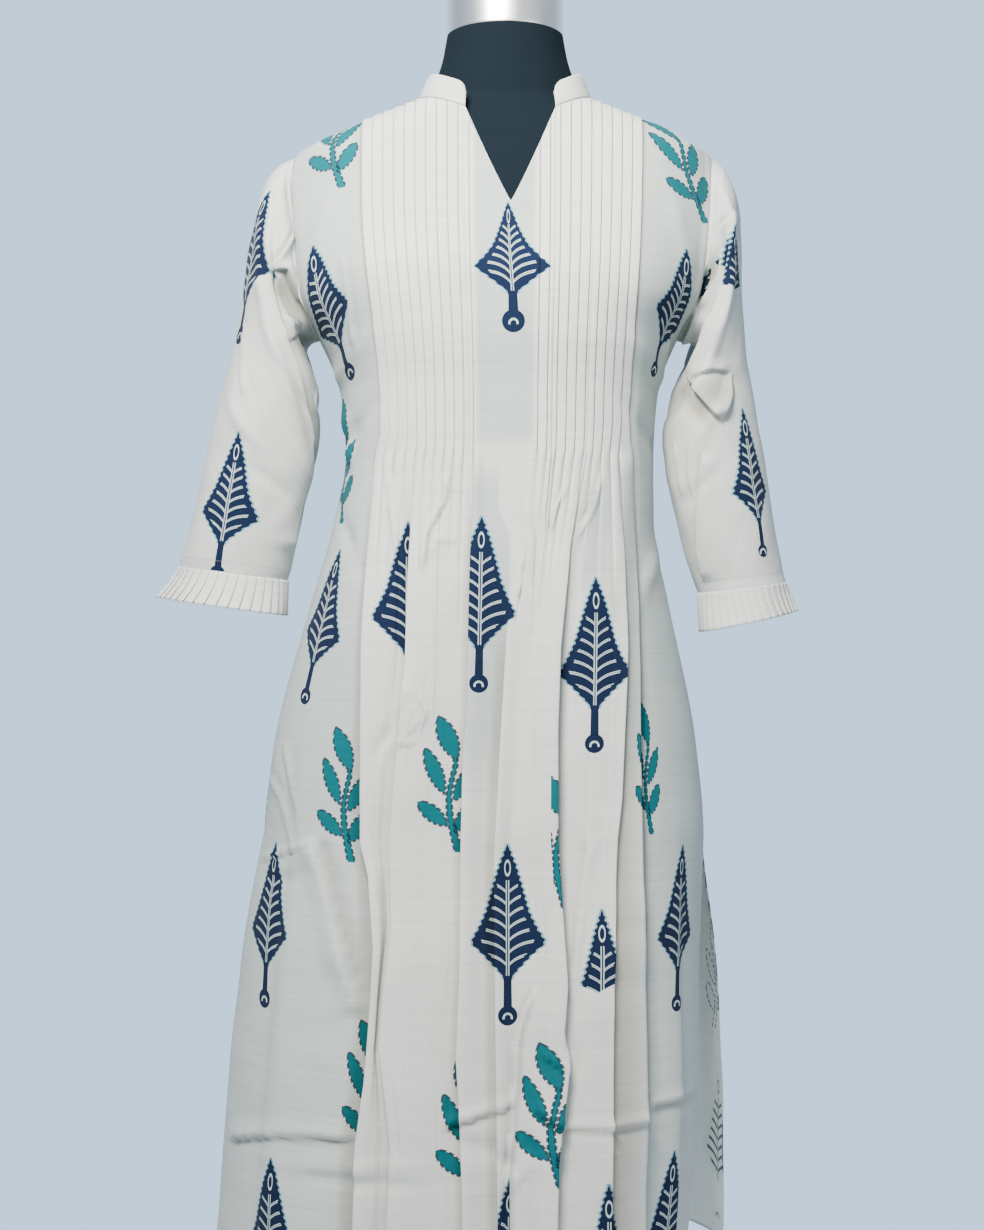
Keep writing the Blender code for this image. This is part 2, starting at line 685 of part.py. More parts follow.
def neck_cap():
    """The bright cap on the neck, with a low dome."""
    side_top = CAP_BOTTOM_Z + CAP_SIDE
    profile = [(0, CAP_BOTTOM_Z), (CAP_RADIUS, CAP_BOTTOM_Z), (CAP_RADIUS, side_top)]
    for i in range(1, 5):
        turn = pi / 2 * i / 5
        profile.append((CAP_RADIUS * cos(turn), side_top + CAP_DOME * sin(turn)))
    profile.append((0, side_top + CAP_DOME))
    return turned("neck_cap", profile, NECK_MIDDLE_Y, CHROME)


def stand():
    """The pole and the flat round base."""
    top = FORM[0].z - SEAM_GAP
    foot = BOSS_TOP_Z + SEAM_GAP
    pole = [(0, foot), (POLE_RADIUS, foot), (POLE_RADIUS, top), (0, top)]
    base = [
        (0, 0), (BASE_RADIUS, 0), (BASE_RADIUS, BASE_EDGE * 0.6), (BASE_RADIUS - 0.004, BASE_EDGE),
        (BOSS_RADIUS + 0.004, BASE_EDGE + 0.002), (BOSS_RADIUS, BASE_EDGE + 0.006),
        (BOSS_RADIUS - 0.004, BOSS_TOP_Z), (0, BOSS_TOP_Z),
    ]
    turned("stand_pole", pole, 0, CHROME)
    turned("stand_base", base, 0, STEEL)


def main():
    for old in list(bpy.data.objects):
        bpy.data.objects.remove(old)
    front, back = panel_walls("front"), panel_walls("back")
    cloth_panel("kurta_front", front[0], front[1], CLOTH)
    cloth_panel("kurta_back", back[0], back[1], CLOTH)
    left = sleeve_walls(-1, LEFT_SLEEVE, LEFT_CREASES, front, back)
    right = sleeve_walls(1, RIGHT_SLEEVE, RIGHT_CREASES, front, back)
    cloth_tube("sleeve_left", left[0], left[1], CLOTH)
    cloth_tube("sleeve_right", right[0], right[1], CLOTH)
    cloth_tube("cuff_frill_left", *frill_walls(LEFT_SLEEVE[-1], LEFT_FRILL), CLOTH)
    cloth_tube("cuff_frill_right", *frill_walls(RIGHT_SLEEVE[-1], RIGHT_FRILL), CLOTH)
    cloth_panel("collar_band", *collar_walls(front, back), CLOTH)
    dress_form()
    neck_cap()
    stand()


main()
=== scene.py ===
"""How the kurta tunic and its dress form look, in metres with +Z up.

The cloth is thin sheets on the sections of the cut pieces, with tucks, folds and creases set by
the tables below. The print is drawn by the material from each sheet's own coordinates.
"""

from collections import namedtuple
from math import cos, pi, radians, sin

import bmesh
import bpy
import numpy as np
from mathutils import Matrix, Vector


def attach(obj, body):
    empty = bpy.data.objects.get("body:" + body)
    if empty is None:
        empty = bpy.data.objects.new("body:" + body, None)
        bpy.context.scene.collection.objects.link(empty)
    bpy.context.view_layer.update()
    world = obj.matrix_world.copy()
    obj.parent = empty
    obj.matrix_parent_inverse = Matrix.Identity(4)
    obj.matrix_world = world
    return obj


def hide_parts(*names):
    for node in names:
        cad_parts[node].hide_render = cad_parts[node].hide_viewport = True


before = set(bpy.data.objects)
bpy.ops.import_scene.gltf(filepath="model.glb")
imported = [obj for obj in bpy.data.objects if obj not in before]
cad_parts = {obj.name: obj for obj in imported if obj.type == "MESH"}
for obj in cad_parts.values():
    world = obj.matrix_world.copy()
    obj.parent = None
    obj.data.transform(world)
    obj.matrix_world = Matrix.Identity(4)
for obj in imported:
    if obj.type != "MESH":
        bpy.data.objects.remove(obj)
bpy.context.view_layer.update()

# The floor
FLOOR_RADIUS = 1.05

# Camera and the photo's frame
CAMERA_PLACE = (-0.0124, -1.8, 0.94)
CAMERA_LENS = 36.97
CAMERA_SENSOR = 24.0
PHOTO_WIDTH = 984
PHOTO_HEIGHT = 1230
METRES_A_PIXEL = 0.00095

# Cloth
CLOTH_EDGE = 0.0009
HEM_FOLD_Z = 0.3455
HEM_FOLD_RISE = 0.0005
SLIT_TOP_Z = 0.73
HEM_Z = 0.335
UNDERARM_Z = 1.200
SHOULDER_TIP_Z = 1.374
NECK_POINT_X = 0.0826
NECK_POINT_Z = 1.424
SECTION_POWER = 2.4

# The V of the neck
V_MIDDLE_X = 0.0045
V_BOTTOM_Z = 1.3114
V_TOP_Z = 1.406
V_HALF_WIDTH = 0.0415

# Body sections: how far the front panel reaches to each side, the depths of the front and the
# back, how far the back panel reaches, half the gap between the side edges, and how round the
# section is.
Body = namedtuple("Body", "z left right front back back_left back_right part round")


def body(z, left, right, front, back, back_left=None, back_right=None, part=0.0, curve=2.0):
    """A section whose back reaches as far as its front unless it says otherwise."""
    return Body(z, left, right, front, back, back_left or left, back_right or right, part, curve)


BODY = [
    body(0.335, 0.272, 0.169, 0.158, 0.155, 0.24, 0.21, 0.03, 1.5),
    body(0.48, 0.262, 0.18, 0.15, 0.15, 0.237, 0.208, 0.024, 1.6),
    body(0.62, 0.249, 0.184, 0.142, 0.144, 0.233, 0.203, 0.012, 1.8),
    body(0.73, 0.229, 0.188, 0.135, 0.138),
    body(0.82, 0.2185, 0.1805, 0.13, 0.134),
    body(0.954, 0.183, 0.154, 0.124, 0.12),
    body(1.03, 0.1615, 0.14, 0.12, 0.104),
    body(1.09, 0.151, 0.1405, 0.119, 0.098),
    body(1.144, 0.155, 0.144, 0.121, 0.101),
    body(1.2, 0.176, 0.163, 0.127, 0.107),
    body(1.24, 0.203, 0.194, 0.126, 0.111),
    body(1.3, 0.212, 0.206, 0.106, 0.11),
    body(1.35, 0.208, 0.202, 0.087, 0.098),
    body(1.374, 0.198, 0.194, 0.078, 0.086),
    body(1.396, 0.157, 0.157, 0.071, 0.078),
    body(1.408, 0.126, 0.126, 0.0665, 0.074),
    body(1.424, 0.0826, 0.0826, 0.063, 0.071),
    body(1.434, 0.06, 0.06, 0.061, 0.069),
]

Sides = namedtuple("Sides", "z left right")
ARMHOLE = [
    Sides(1.2, 0.176, 0.163),
    Sides(1.24, 0.19, 0.18),
    Sides(1.3, 0.1957, 0.188),
    Sides(1.35, 0.1995, 0.192),
    Sides(1.374, 0.198, 0.194),
    Sides(1.434, 0.198, 0.194),
]

# The outermost tuck of each side, which the folds of the skirt follow down to the hem.
TUCKED = [
    Sides(0.335, 0.1175, 0.118),
    Sides(0.62, 0.123, 0.1195),
    Sides(0.9, 0.12, 0.118),
    Sides(1.08, 0.113, 0.112),
    Sides(1.144, 0.114, 0.113),
    Sides(1.312, 0.13, 0.123),
    Sides(1.434, 0.133, 0.128),
]
TUCKS = 11
TUCK_LANE = 0.7
INNER_TUCK = 0.175
TUCK_END_Z = 1.085
LANE_WIDTH = 0.172

# Across a tuck, in millimetres: how far in from its edge, and how high the cloth lies there.
TUCK_PROFILE = [
    (-0.6, 0.0), (-0.1, 0.05), (0.15, 0.8), (0.4, 1.4), (0.9, 1.6), (1.7, 1.55),
    (3.0, 1.35), (4.8, 1.0), (6.6, 0.62), (8.4, 0.25),
]

# How finely the cloth is divided
CENTRE_COLUMNS = 13
SIDE_COLUMNS = 46
SKIRT_ROWS = 225
YOKE_ROWS = 58
BACK_COLUMNS = 150

# Released folds: the lane of the edge, the way that it faces, the reach of the fold behind it in
# lanes, its height at the hem, where it begins, how far it laps over the cloth beside it, and
# the heights and places that its edge runs through.
Fold = namedtuple("Fold", "lane faces reach height start lap route")
FRONT_FOLDS = [
    Fold(-0.88, -1, 0.12, 0.005, 0.9, 0.0, ()),
    Fold(-0.7, -1, 0.2, 0.011, 1.08, 0.007, (
        (0.401, -0.1297), (0.48, -0.1288), (0.533, -0.1209), (0.579, -0.1174), (0.646, -0.113),
        (0.708, -0.1183), (0.738, -0.1262), (0.912, -0.1271), (1.058, -0.1227), (1.076, -0.1218),
    )),
    Fold(-0.49, -1, 0.26, 0.013, 1.08, 0.009, (
        (0.401, -0.101), (0.484, -0.0985), (0.515, -0.102), (0.562, -0.1085), (0.6, -0.106),
        (0.661, -0.099), (0.743, -0.101), (0.824, -0.0938), (0.894, -0.0876), (1.021, -0.085),
        (1.067, -0.0824),
    )),
    Fold(-0.175, -1, 0.13, 0.01, 1.08, 0.009, (
        (0.401, -0.0368), (0.451, -0.0377), (0.515, -0.0403), (0.556, -0.043), (0.626, -0.0403),
        (0.725, -0.0395), (0.816, -0.0377), (0.854, -0.0342), (0.912, -0.0333), (1.021, -0.0307),
        (1.076, -0.029),
    )),
    Fold(-0.04, -1, 0.13, 0.0075, 0.98, 0.006, (
        (0.401, -0.0088), (0.603, -0.0114), (0.725, -0.0123), (0.824, -0.0071), (0.912, -0.0018),
        (0.956, 0.0026), (1.006, 0.0035),
    )),
    Fold(0.4375, 1, 0.22, 0.012, 1.09, 0.009, (
        (0.401, 0.035), (0.48, 0.0394), (0.55, 0.0499), (0.579, 0.0455), (0.618, 0.049),
        (0.743, 0.042), (0.837, 0.042), (0.912, 0.0446), (1.0, 0.0543), (1.041, 0.063),
        (1.085, 0.0692),
    )),
    Fold(0.6475, 1, 0.19, 0.0085, 1.08, 0.006, (
        (0.401, 0.0788), (0.539, 0.0823), (0.609, 0.0849), (0.743, 0.0928), (0.778, 0.0981),
        (0.854, 0.1024), (0.912, 0.1051), (1.058, 0.1033), (1.085, 0.1007),
    )),
    Fold(0.7, 1, 0.09, 0.0085, 1.07, 0.006, (
        (0.401, 0.1191), (0.495, 0.1217), (0.579, 0.1208), (0.743, 0.1191), (0.866, 0.1182),
        (1.076, 0.1182),
    )),
    Fold(0.86, 1, 0.1, 0.006, 0.8, 0.0, ()),
]
BACK_FOLDS = [
    Fold(-0.62, -1, 0.24, 0.01, 0.98, 0.0, ()),
    Fold(-0.3, -1, 0.22, 0.009, 1.0, 0.0, ()),
    Fold(0.05, 1, 0.24, 0.008, 0.95, 0.0, ()),
    Fold(0.36, 1, 0.22, 0.009, 1.0, 0.0, ()),
    Fold(0.68, 1, 0.22, 0.01, 0.98, 0.0, ()),
]
FOLD_EDGE = 0.036

# Across a lapped fold's edge, by millimetres in from it: the share of its lap that the cloth
# shifts, the share of its height that the cloth rises, and how strongly painted shade darkens its foot.
LAP_SHIFT = ((-7.0, -0.7, 0.0, 0.16, 0.45, 4.0), (0.0, 1.0, 0.55, 0.1, -0.12, 0.0))
LAP_RISE = (
    (-16.0, -7.0, -0.7, 0.0, 0.16, 0.45, 1.0, 3.0), (0.0, -0.12, -0.06, 0.3, 0.6, 0.86, 1.0, 1.0),
)
LAP_SHADE = ((-7.2, -5.1, -0.3, 0.05), (0.0, 0.55, 0.9, 0.0))
FOLD_FULL_DROP = 0.3

# Creases of a panel: the middle's x and z, half width and half length, the angle of its length
# from level in degrees, and its height, less than nought for a trough.
Mark = namedtuple("Mark", "x z width length turn height")
FRONT_MARKS = [
    Mark(-0.128, 0.448, 0.006, 0.06, 2, -0.0022),
    Mark(-0.124, 0.46, 0.007, 0.06, 4, 0.002),
    Mark(-0.005, 0.476, 0.007, 0.036, -28, -0.003),
    Mark(0.03, 0.462, 0.008, 0.034, 22, 0.0026),
    Mark(0.052, 0.482, 0.007, 0.03, -30, -0.0024),
    Mark(-0.198, 0.7, 0.007, 0.018, 20, -0.0026),
    Mark(-0.088, 0.85, 0.006, 0.03, 76, 0.0028),
    Mark(-0.096, 0.835, 0.006, 0.028, 60, -0.0026),
    Mark(-0.06, 1.0, 0.005, 0.018, 50, 0.0014),
    Mark(-0.146, 1.02, 0.007, 0.04, -62, -0.0028),
    Mark(-0.138, 1.11, 0.007, 0.034, 48, -0.0032),
    Mark(-0.16, 1.16, 0.009, 0.04, 40, 0.0034),
    Mark(0.128, 1.11, 0.007, 0.034, -48, -0.003),
    Mark(0.148, 1.16, 0.009, 0.04, -42, 0.0034),
    Mark(0.135, 0.985, 0.008, 0.04, 66, 0.0026),
    Mark(-0.17, 1.29, 0.009, 0.046, 74, 0.0022),
    Mark(0.16, 1.29, 0.009, 0.05, -76, 0.0022),
    Mark(0.11, 0.64, 0.012, 0.07, 80, 0.0022),
    Mark(-0.16, 0.6, 0.014, 0.09, 84, 0.0026),
]
BACK_MARKS = [
    Mark(0.0, 1.1, 0.011, 0.08, 4, -0.0034),
    Mark(0.015, 1.075, 0.01, 0.07, -6, 0.003),
    Mark(-0.06, 1.13, 0.01, 0.05, 30, -0.0026),
    Mark(0.07, 1.125, 0.01, 0.05, -26, 0.0026),
    Mark(-0.13, 1.18, 0.01, 0.05, 44, 0.0036),
    Mark(0.125, 1.18, 0.01, 0.05, -46, 0.0034),
    Mark(-0.11, 1.29, 0.012, 0.07, 70, 0.0026),
    Mark(0.105, 1.28, 0.012, 0.07, -66, 0.0026),
    Mark(0.0, 1.37, 0.009, 0.06, 2, -0.0014),
    Mark(-0.12, 0.7, 0.013, 0.08, 78, -0.0026),
    Mark(0.1, 0.62, 0.013, 0.09, -80, -0.0026),
    Mark(-0.02, 0.48, 0.008, 0.06, -12, -0.0022),
]

# Pressed folds that the camera sees: height, how far the raised side falls off and how wide the
# foot is in millimetres, how strongly painted shade darkens the foot, and the route in the photo's
# pixels. The raised side lies to the viewer's right of a route that runs down.
Bend = namedtuple("Bend", "height rise fall dark route")
FRONT_BENDS = [
    Bend(-0.0065, 26, 20, 0.62, ((318, 836), (326, 880), (332, 920), (339, 955), (356, 1016))),
    Bend(0.0045, 16, 8, 0.47, (
        (557, 985), (538, 1010), (523, 1045), (517, 1130), (510, 1180), (511, 1236),
    )),
    Bend(0.0026, 8, 5, 0.34, ((612, 836), (605, 913), (597, 993), (590, 1060))),
    Bend(0.0032, 20, 15, 0.55, ((225, 1139), (290, 1136), (360, 1142))),
    Bend(0.0036, 14, 12, 0.55, ((452, 1131), (493, 1113), (528, 1104))),
    Bend(0.0034, 14, 12, 0.55, ((556, 1106), (596, 1126), (650, 1121))),
    Bend(0.0026, 7, 5, 0.34, ((558, 1050), (595, 1072))),
    Bend(0.003, 14, 12, 0.5, ((640, 1112), (700, 1090))),
    Bend(0.0024, 7, 5, 0.34, ((258, 862), (290, 852), (325, 842))),
    Bend(-0.0029, 9, 6, 0.34, ((268, 765), (285, 797), (300, 855))),
    Bend(0.0022, 7, 5, 0.27, ((283, 740), (292, 790), (300, 820))),
    Bend(-0.0026, 7, 5, 0.54, ((403, 744), (420, 728), (434, 706))),
    Bend(0.0022, 6, 5, 0.47, ((402, 752), (418, 744), (434, 741))),
    Bend(0.0021, 6, 4, 0.41, ((425, 690), (432, 712), (428, 735))),
    Bend(0.0022, 6, 4, 0.47, ((434, 541), (450, 543), (468, 542))),
    Bend(-0.0035, 9, 5, 0.47, ((452, 470), (450, 500), (433, 535), (430, 575))),
    Bend(0.0022, 6, 4, 0.41, ((527, 500), (529, 545), (532, 592))),
    Bend(-0.0024, 6, 4, 0.41, ((519, 540), (512, 585), (506, 632))),
    Bend(0.0026, 6, 4, 0.41, ((571, 480), (562, 505), (556, 540))),
    Bend(0.0022, 6, 4, 0.34, ((602, 470), (597, 505), (588, 545))),
    Bend(0.0022, 6, 4, 0.34, ((395, 470), (398, 520), (404, 560))),
    Bend(-0.0032, 9, 6, 0.34, ((345, 250), (352, 300), (358, 350))),
    Bend(0.0038, 10, 6, 0.34, ((325, 385), (345, 420), (352, 470))),
    Bend(-0.0035, 9, 6, 0.34, ((672, 330), (664, 380), (662, 420))),
]
LEFT_BENDS = [
    Bend(-0.005, 34, 9, 0.75, (
        (270, 270), (280, 310), (286, 340), (294, 362), (300, 385), (310, 415), (314, 437), (310, 475),
        (302, 522), (296, 556),
    )),
    Bend(0.0042, 12, 9, 0.9, ((268, 268), (287, 270), (300, 300), (315, 332), (326, 352))),
    Bend(0.003, 9, 7, 0.55, ((296, 226), (284, 250), (269, 268))),
    Bend(-0.0022, 8, 5, 0.45, ((283, 312), (302, 328), (290, 346))),
    Bend(0.002, 9, 5, 0.3, ((287, 175), (291, 205), (297, 240))),
    Bend(0.0018, 10, 6, 0.25, ((244, 322), (242, 350), (243, 400))),
    Bend(0.0012, 6, 4, 0.3, ((288, 252), (296, 250))),
    Bend(0.0016, 8, 5, 0.25, ((318, 372), (316, 400), (320, 430))),
]
RIGHT_BENDS = [
    Bend(0.005, 15, 9, 0.55, ((735, 208), (715, 232), (702, 252), (694, 277), (691, 300))),
    Bend(0.004, 9, 12, 0.9, ((719, 252), (716, 272), (705, 292), (696, 312))),
    Bend(0.0052, 26, 11, 0.85, (
        (697, 305), (689, 325), (681, 340), (683, 362), (687, 381), (703, 402), (724, 425),
    )),
    Bend(-0.0034, 12, 7, 0.45, ((737, 371), (733, 396), (722, 424))),
    Bend(0.0028, 14, 8, 0.4, ((688, 380), (712, 370), (738, 371))),
    Bend(0.0028, 20, 7, 0.45, ((702, 450), (699, 482), (696, 520), (697, 550), (704, 586))),
    Bend(0.0016, 8, 5, 0.25, ((672, 440), (678, 470), (684, 500))),
    Bend(0.0014, 7, 5, 0.25, ((690, 440), (688, 470), (692, 505))),
]

# Soft hollows and swells that the camera sees: the middle in the photo's pixels, half width and
# half length in millimetres, the angle of the length from level, height, and how strongly painted shade
# darkens it.
Dab = namedtuple("Dab", "x y width length turn height dark")
LEFT_DABS = [
    Dab(285, 290, 9, 26, -58, -0.006, 0.85),
    Dab(312, 348, 9, 18, -40, -0.004, 0.9),
    Dab(285, 240, 7, 18, 60, 0.0025, 0.0),
    Dab(290, 330, 8, 12, 40, 0.003, 0.0),
    Dab(250, 400, 20, 60, 84, 0.003, 0.0),
]
RIGHT_DABS = [
    Dab(707, 276, 8, 20, 62, -0.006, 0.9),
    Dab(675, 386, 13, 28, 70, -0.006, 1.0),
    Dab(697, 410, 9, 22, -42, -0.0045, 0.9),
    Dab(716, 394, 14, 22, 30, -0.002, 0.75),
    Dab(720, 340, 14, 30, 80, 0.0035, 0.0),
    Dab(680, 480, 12, 40, 80, 0.002, 0.0),
]

# One ring of a sleeve to a row: its outer and inner points seen from the front, half its depth
# and the place of its middle from front to back.
Ring = namedtuple("Ring", "outer_x outer_z inner_x inner_z depth middle_y")
LEFT_SLEEVE = [
    Ring(-0.214, 1.366, -0.185, 1.197, 0.06, 0.003),
    Ring(-0.229, 1.343, -0.19, 1.1895, 0.067, 0.003),
    Ring(-0.239, 1.3, -0.185, 1.174, 0.068, 0.001),
    Ring(-0.2475, 1.238, -0.178, 1.154, 0.065, -0.002),
    Ring(-0.2575, 1.182, -0.1745, 1.129, 0.062, -0.005),
    Ring(-0.272, 1.134, -0.1755, 1.102, 0.059, -0.008),
    Ring(-0.282, 1.096, -0.182, 1.072, 0.056, -0.01),
    Ring(-0.29, 1.055, -0.191, 1.037, 0.053, -0.012),
    Ring(-0.297, 1.022, -0.198, 1.006, 0.05, -0.013),
    Ring(-0.306, 0.986, -0.205, 0.973, 0.046, -0.014),
]
RIGHT_SLEEVE = [
    Ring(0.207, 1.362, 0.177, 1.198, 0.061, 0.004),
    Ring(0.218, 1.334, 0.184, 1.19, 0.068, 0.003),
    Ring(0.2225, 1.295, 0.169, 1.172, 0.068, 0.001),
    Ring(0.224, 1.235, 0.158, 1.153, 0.066, -0.002),
    Ring(0.229, 1.183, 0.1525, 1.131, 0.064, -0.005),
    Ring(0.236, 1.14, 0.1495, 1.107, 0.061, -0.008),
    Ring(0.242, 1.098, 0.153, 1.076, 0.058, -0.01),
    Ring(0.249, 1.049, 0.16, 1.04, 0.056, -0.012),
    Ring(0.256, 1.005, 0.169, 0.999, 0.054, -0.013),
    Ring(0.264, 0.971, 0.182, 0.961, 0.052, -0.014),
]

# Creases of a sleeve: ring number, turn in degrees from the outer side towards the front, half
# width and half length, slant of the crease from the sleeve's length, and its height.
Crease = namedtuple("Crease", "ring turn width length slant height")
LEFT_CREASES = [
    Crease(3.2, 118, 0.012, 0.06, 40, -0.007),
    Crease(4.2, 92, 0.011, 0.055, 38, 0.0045),
    Crease(5.6, 140, 0.012, 0.05, 30, -0.005),
    Crease(3.4, 232, 0.013, 0.06, -40, -0.0065),
    Crease(5.4, 262, 0.014, 0.06, -34, 0.004),
    Crease(4.9, 120, 0.006, 0.034, 62, -0.003),
    Crease(6.2, 70, 0.007, 0.034, 54, 0.0026),
    Crease(7.4, 110, 0.006, 0.03, 70, -0.002),
    Crease(2.2, 70, 0.008, 0.04, 20, 0.0026),
    Crease(4.4, 210, 0.007, 0.036, -58, -0.003),
    Crease(6.8, 250, 0.007, 0.034, -60, 0.0024),
    Crease(2.4, 300, 0.009, 0.04, -16, 0.0028),
]
RIGHT_CREASES = [
    Crease(2.6, 112, 0.012, 0.06, 46, -0.0075),
    Crease(3.9, 84, 0.011, 0.05, 36, 0.005),
    Crease(5.2, 64, 0.013, 0.05, -38, -0.0045),
    Crease(3.2, 236, 0.013, 0.06, -42, -0.0065),
    Crease(5.6, 258, 0.014, 0.06, -30, 0.004),
    Crease(4.7, 126, 0.006, 0.034, 60, -0.003),
    Crease(6.0, 92, 0.007, 0.034, 52, 0.0026),
    Crease(7.6, 120, 0.006, 0.03, 66, -0.002),
    Crease(2.0, 60, 0.008, 0.04, 18, 0.0026),
    Crease(4.6, 214, 0.007, 0.036, -56, -0.003),
    Crease(7.0, 246, 0.007, 0.034, -58, 0.0024),
    Crease(2.2, 304, 0.009, 0.04, -14, 0.0028),
]

# Soft uneven swells of the cloth: height, and how many there are up and along it.
FRONT_SWELLS = ((0.0016, 12, 8), (0.0007, 34, 22))
BACK_SWELLS = ((0.0018, 11, 8), (0.0008, 30, 20))
SLEEVE_SWELLS = ((0.0012, 9, 8), (0.0006, 24, 20))

# Lengths for placing the creases on a sleeve, and how finely it is divided
CREASE_PITCH = 0.038
SLEEVE_RADIUS = 0.058
SLEEVE_ROWS = 240
SLEEVE_FRONT_COLUMNS = 150
SLEEVE_BACK_COLUMNS = 74

# Cuff frills
FRILL_PLEATS = 36
FRILL_PLEAT_HEIGHT = 0.0032
LEFT_FRILL = Ring(-0.325, 0.957, -0.207, 0.94, 0.055, -0.014)
RIGHT_FRILL = Ring(0.272, 0.944, 0.185, 0.925, 0.06, -0.014)
FRILL_ROWS = 16
PLEAT_PROFILE = [
    (0.0, 0.0), (0.02, 0.1), (0.12, 0.22), (0.3, 0.45), (0.5, 0.68), (0.7, 0.88),
    (0.86, 1.0), (1.0, 1.0), (1.1, 0.92), (1.13, 0.7), (1.08, 0.42), (1.02, 0.15),
]

# Collar band
COLLAR_HEIGHT = 0.0225
COLLAR_WALL = 0.0018
COLLAR_LEAN = 0.0085
COLLAR_FRONT_LEAN = 0.003
COLLAR_CORNER = 0.009
COLLAR_COLUMNS = 200
COLLAR_ROWS = 12

# Dress form: half widths and depths of its sections.
Form = namedtuple("Form", "z left right front back")
FORM = [
    Form(0.74, 0.138, 0.138, 0.09, 0.098),
    Form(0.77, 0.15, 0.149, 0.096, 0.108),
    Form(0.8, 0.158, 0.155, 0.1, 0.114),
    Form(0.87, 0.164, 0.156, 0.104, 0.118),
    Form(0.954, 0.15, 0.144, 0.102, 0.104),
    Form(1.03, 0.132, 0.13, 0.096, 0.088),
    Form(1.09, 0.126, 0.126, 0.094, 0.082),
    Form(1.144, 0.136, 0.133, 0.104, 0.088),
    Form(1.2, 0.153, 0.148, 0.117, 0.097),
    Form(1.24, 0.172, 0.166, 0.117, 0.102),
    Form(1.3, 0.185, 0.178, 0.098, 0.101),
    Form(1.345, 0.187, 0.182, 0.082, 0.092),
    Form(1.365, 0.187, 0.182, 0.075, 0.084),
    Form(1.378, 0.187, 0.182, 0.07, 0.078),
    Form(1.386, 0.187, 0.182, 0.068, 0.075),
    Form(1.394, 0.187, 0.182, 0.062, 0.073),
    Form(1.405, 0.187, 0.182, 0.0565, 0.069),
    Form(1.4135, 0.187, 0.182, 0.052, 0.067),
    Form(1.4214, 0.187, 0.182, 0.048, 0.064),
    Form(1.425, 0.076, 0.076, 0.047, 0.062),
    Form(1.434, 0.07, 0.07, 0.047, 0.06),
    Form(1.445, 0.066, 0.066, 0.047, 0.059),
    Form(1.465, 0.0595, 0.0595, 0.0475, 0.06),
    Form(1.4887, 0.055, 0.055, 0.049, 0.061),
]
NECK_BOTTOM_Z = 1.425
SHOULDER_REST = 0.0026
FORM_COLUMNS = 120
NECK_MIDDLE_Y = 0.006
CAP_RADIUS = 0.0555
CAP_BOTTOM_Z = 1.489
CAP_SIDE = 0.04
CAP_DOME = 0.016

chance = np.random.default_rng(7)


def ease(t):
    """A smooth step from 0 to 1."""
    t = np.clip(t, 0.0, 1.0)
    return t * t * (3 - 2 * t)


def bell(t):
    """1 in the middle, near 0 beyond 2."""
    return np.exp(-t * t)


def read(table, column, z):
    """A column of a table at the heights z, through its rows on a curve that never overshoots."""
    heights = np.array([row.z for row in table])
    values = np.array([getattr(row, column) for row in table])
    z = np.clip(z, heights[0], heights[-1])
    place = np.clip(np.searchsorted(heights, z, side="right") - 1, 0, len(heights) - 2)
    slopes = np.diff(values) / np.diff(heights)
    before, after = slopes[:-1], slopes[1:]
    same_way = before * after > 0
    total = np.where(same_way, before + after, 1.0)
    inner = np.where(same_way, 2 * before * after / total, 0.0)
    tangents = np.concatenate([slopes[:1], inner, slopes[-1:]])
    low, high = values[place], values[place + 1]
    span = heights[place + 1] - heights[place]
    t = (z - heights[place]) / span
    bend = t * t * (3 - 2 * t)
    leave = t * (1 - t) ** 2 * span * tangents[place]
    arrive = t * t * (1 - t) * span * tangents[place + 1]
    return low + (high - low) * bend + leave - arrive


def sided(table, x, z, prefix=""):
    """The left or right column of a table, by the sign of x."""
    left, right = read(table, prefix + "left", z), read(table, prefix + "right", z)
    return np.where(x < 0, left, right)


def panel_depth(x, z, panel):
    """How far the panel lies in front of or behind the middle plane at x and z."""
    back = panel == "back"
    reach = sided(BODY, x, z, "back_" if back else "")
    share = np.minimum(np.abs(x) / reach, 1.0)
    curve = (1 - share**SECTION_POWER) ** (1 / read(BODY, "round", z))
    depth = read(BODY, panel, z) * curve + read(BODY, "part", z)
    return depth if back else -depth


def lane_x(lane, z, panel):
    """A lane runs up the cloth: -1 and 1 are the side edges, TUCK_LANE the outermost tuck."""
    below = sided(BODY, lane, z, "back_" if panel == "back" else "")
    edge = np.where(z > UNDERARM_Z, sided(ARMHOLE, lane, z), below)
    if panel == "back":
        return lane * edge
    tuck = sided(TUCKED, lane, z)
    share = np.abs(lane)
    inside = tuck * share / TUCK_LANE
    outside = tuck + (edge - tuck) * (share - TUCK_LANE) / (1 - TUCK_LANE)
    return np.sign(lane) * np.where(share <= TUCK_LANE, inside, outside)


def ridge_z(x):
    """The height of the shoulder over x, where the section is just this wide."""
    heights = np.linspace(SHOULDER_TIP_Z, NECK_POINT_Z, 200)
    left = np.interp(np.abs(x), read(BODY, "left", heights)[::-1], heights[::-1])
    right = np.interp(np.abs(x), read(BODY, "right", heights)[::-1], heights[::-1])
    return np.where(x < 0, left, right)


def neck_z(x, panel):
    """The height of the neck edge over x."""
    if panel == "back":
        return np.full_like(x, NECK_POINT_Z)
    from_middle = np.abs(x - V_MIDDLE_X)
    share = np.minimum(from_middle / V_HALF_WIDTH, 1.0)
    in_v = V_BOTTOM_Z + (V_TOP_Z - V_BOTTOM_Z) * share**1.08
    v_top_x = V_HALF_WIDTH + np.where(x > 0, V_MIDDLE_X, -V_MIDDLE_X)
    rest = (np.abs(x) - v_top_x) / (NECK_POINT_X - v_top_x)
    beside = V_TOP_Z + (NECK_POINT_Z - V_TOP_Z) * rest
    return np.where(from_middle < V_HALF_WIDTH, in_v, beside)


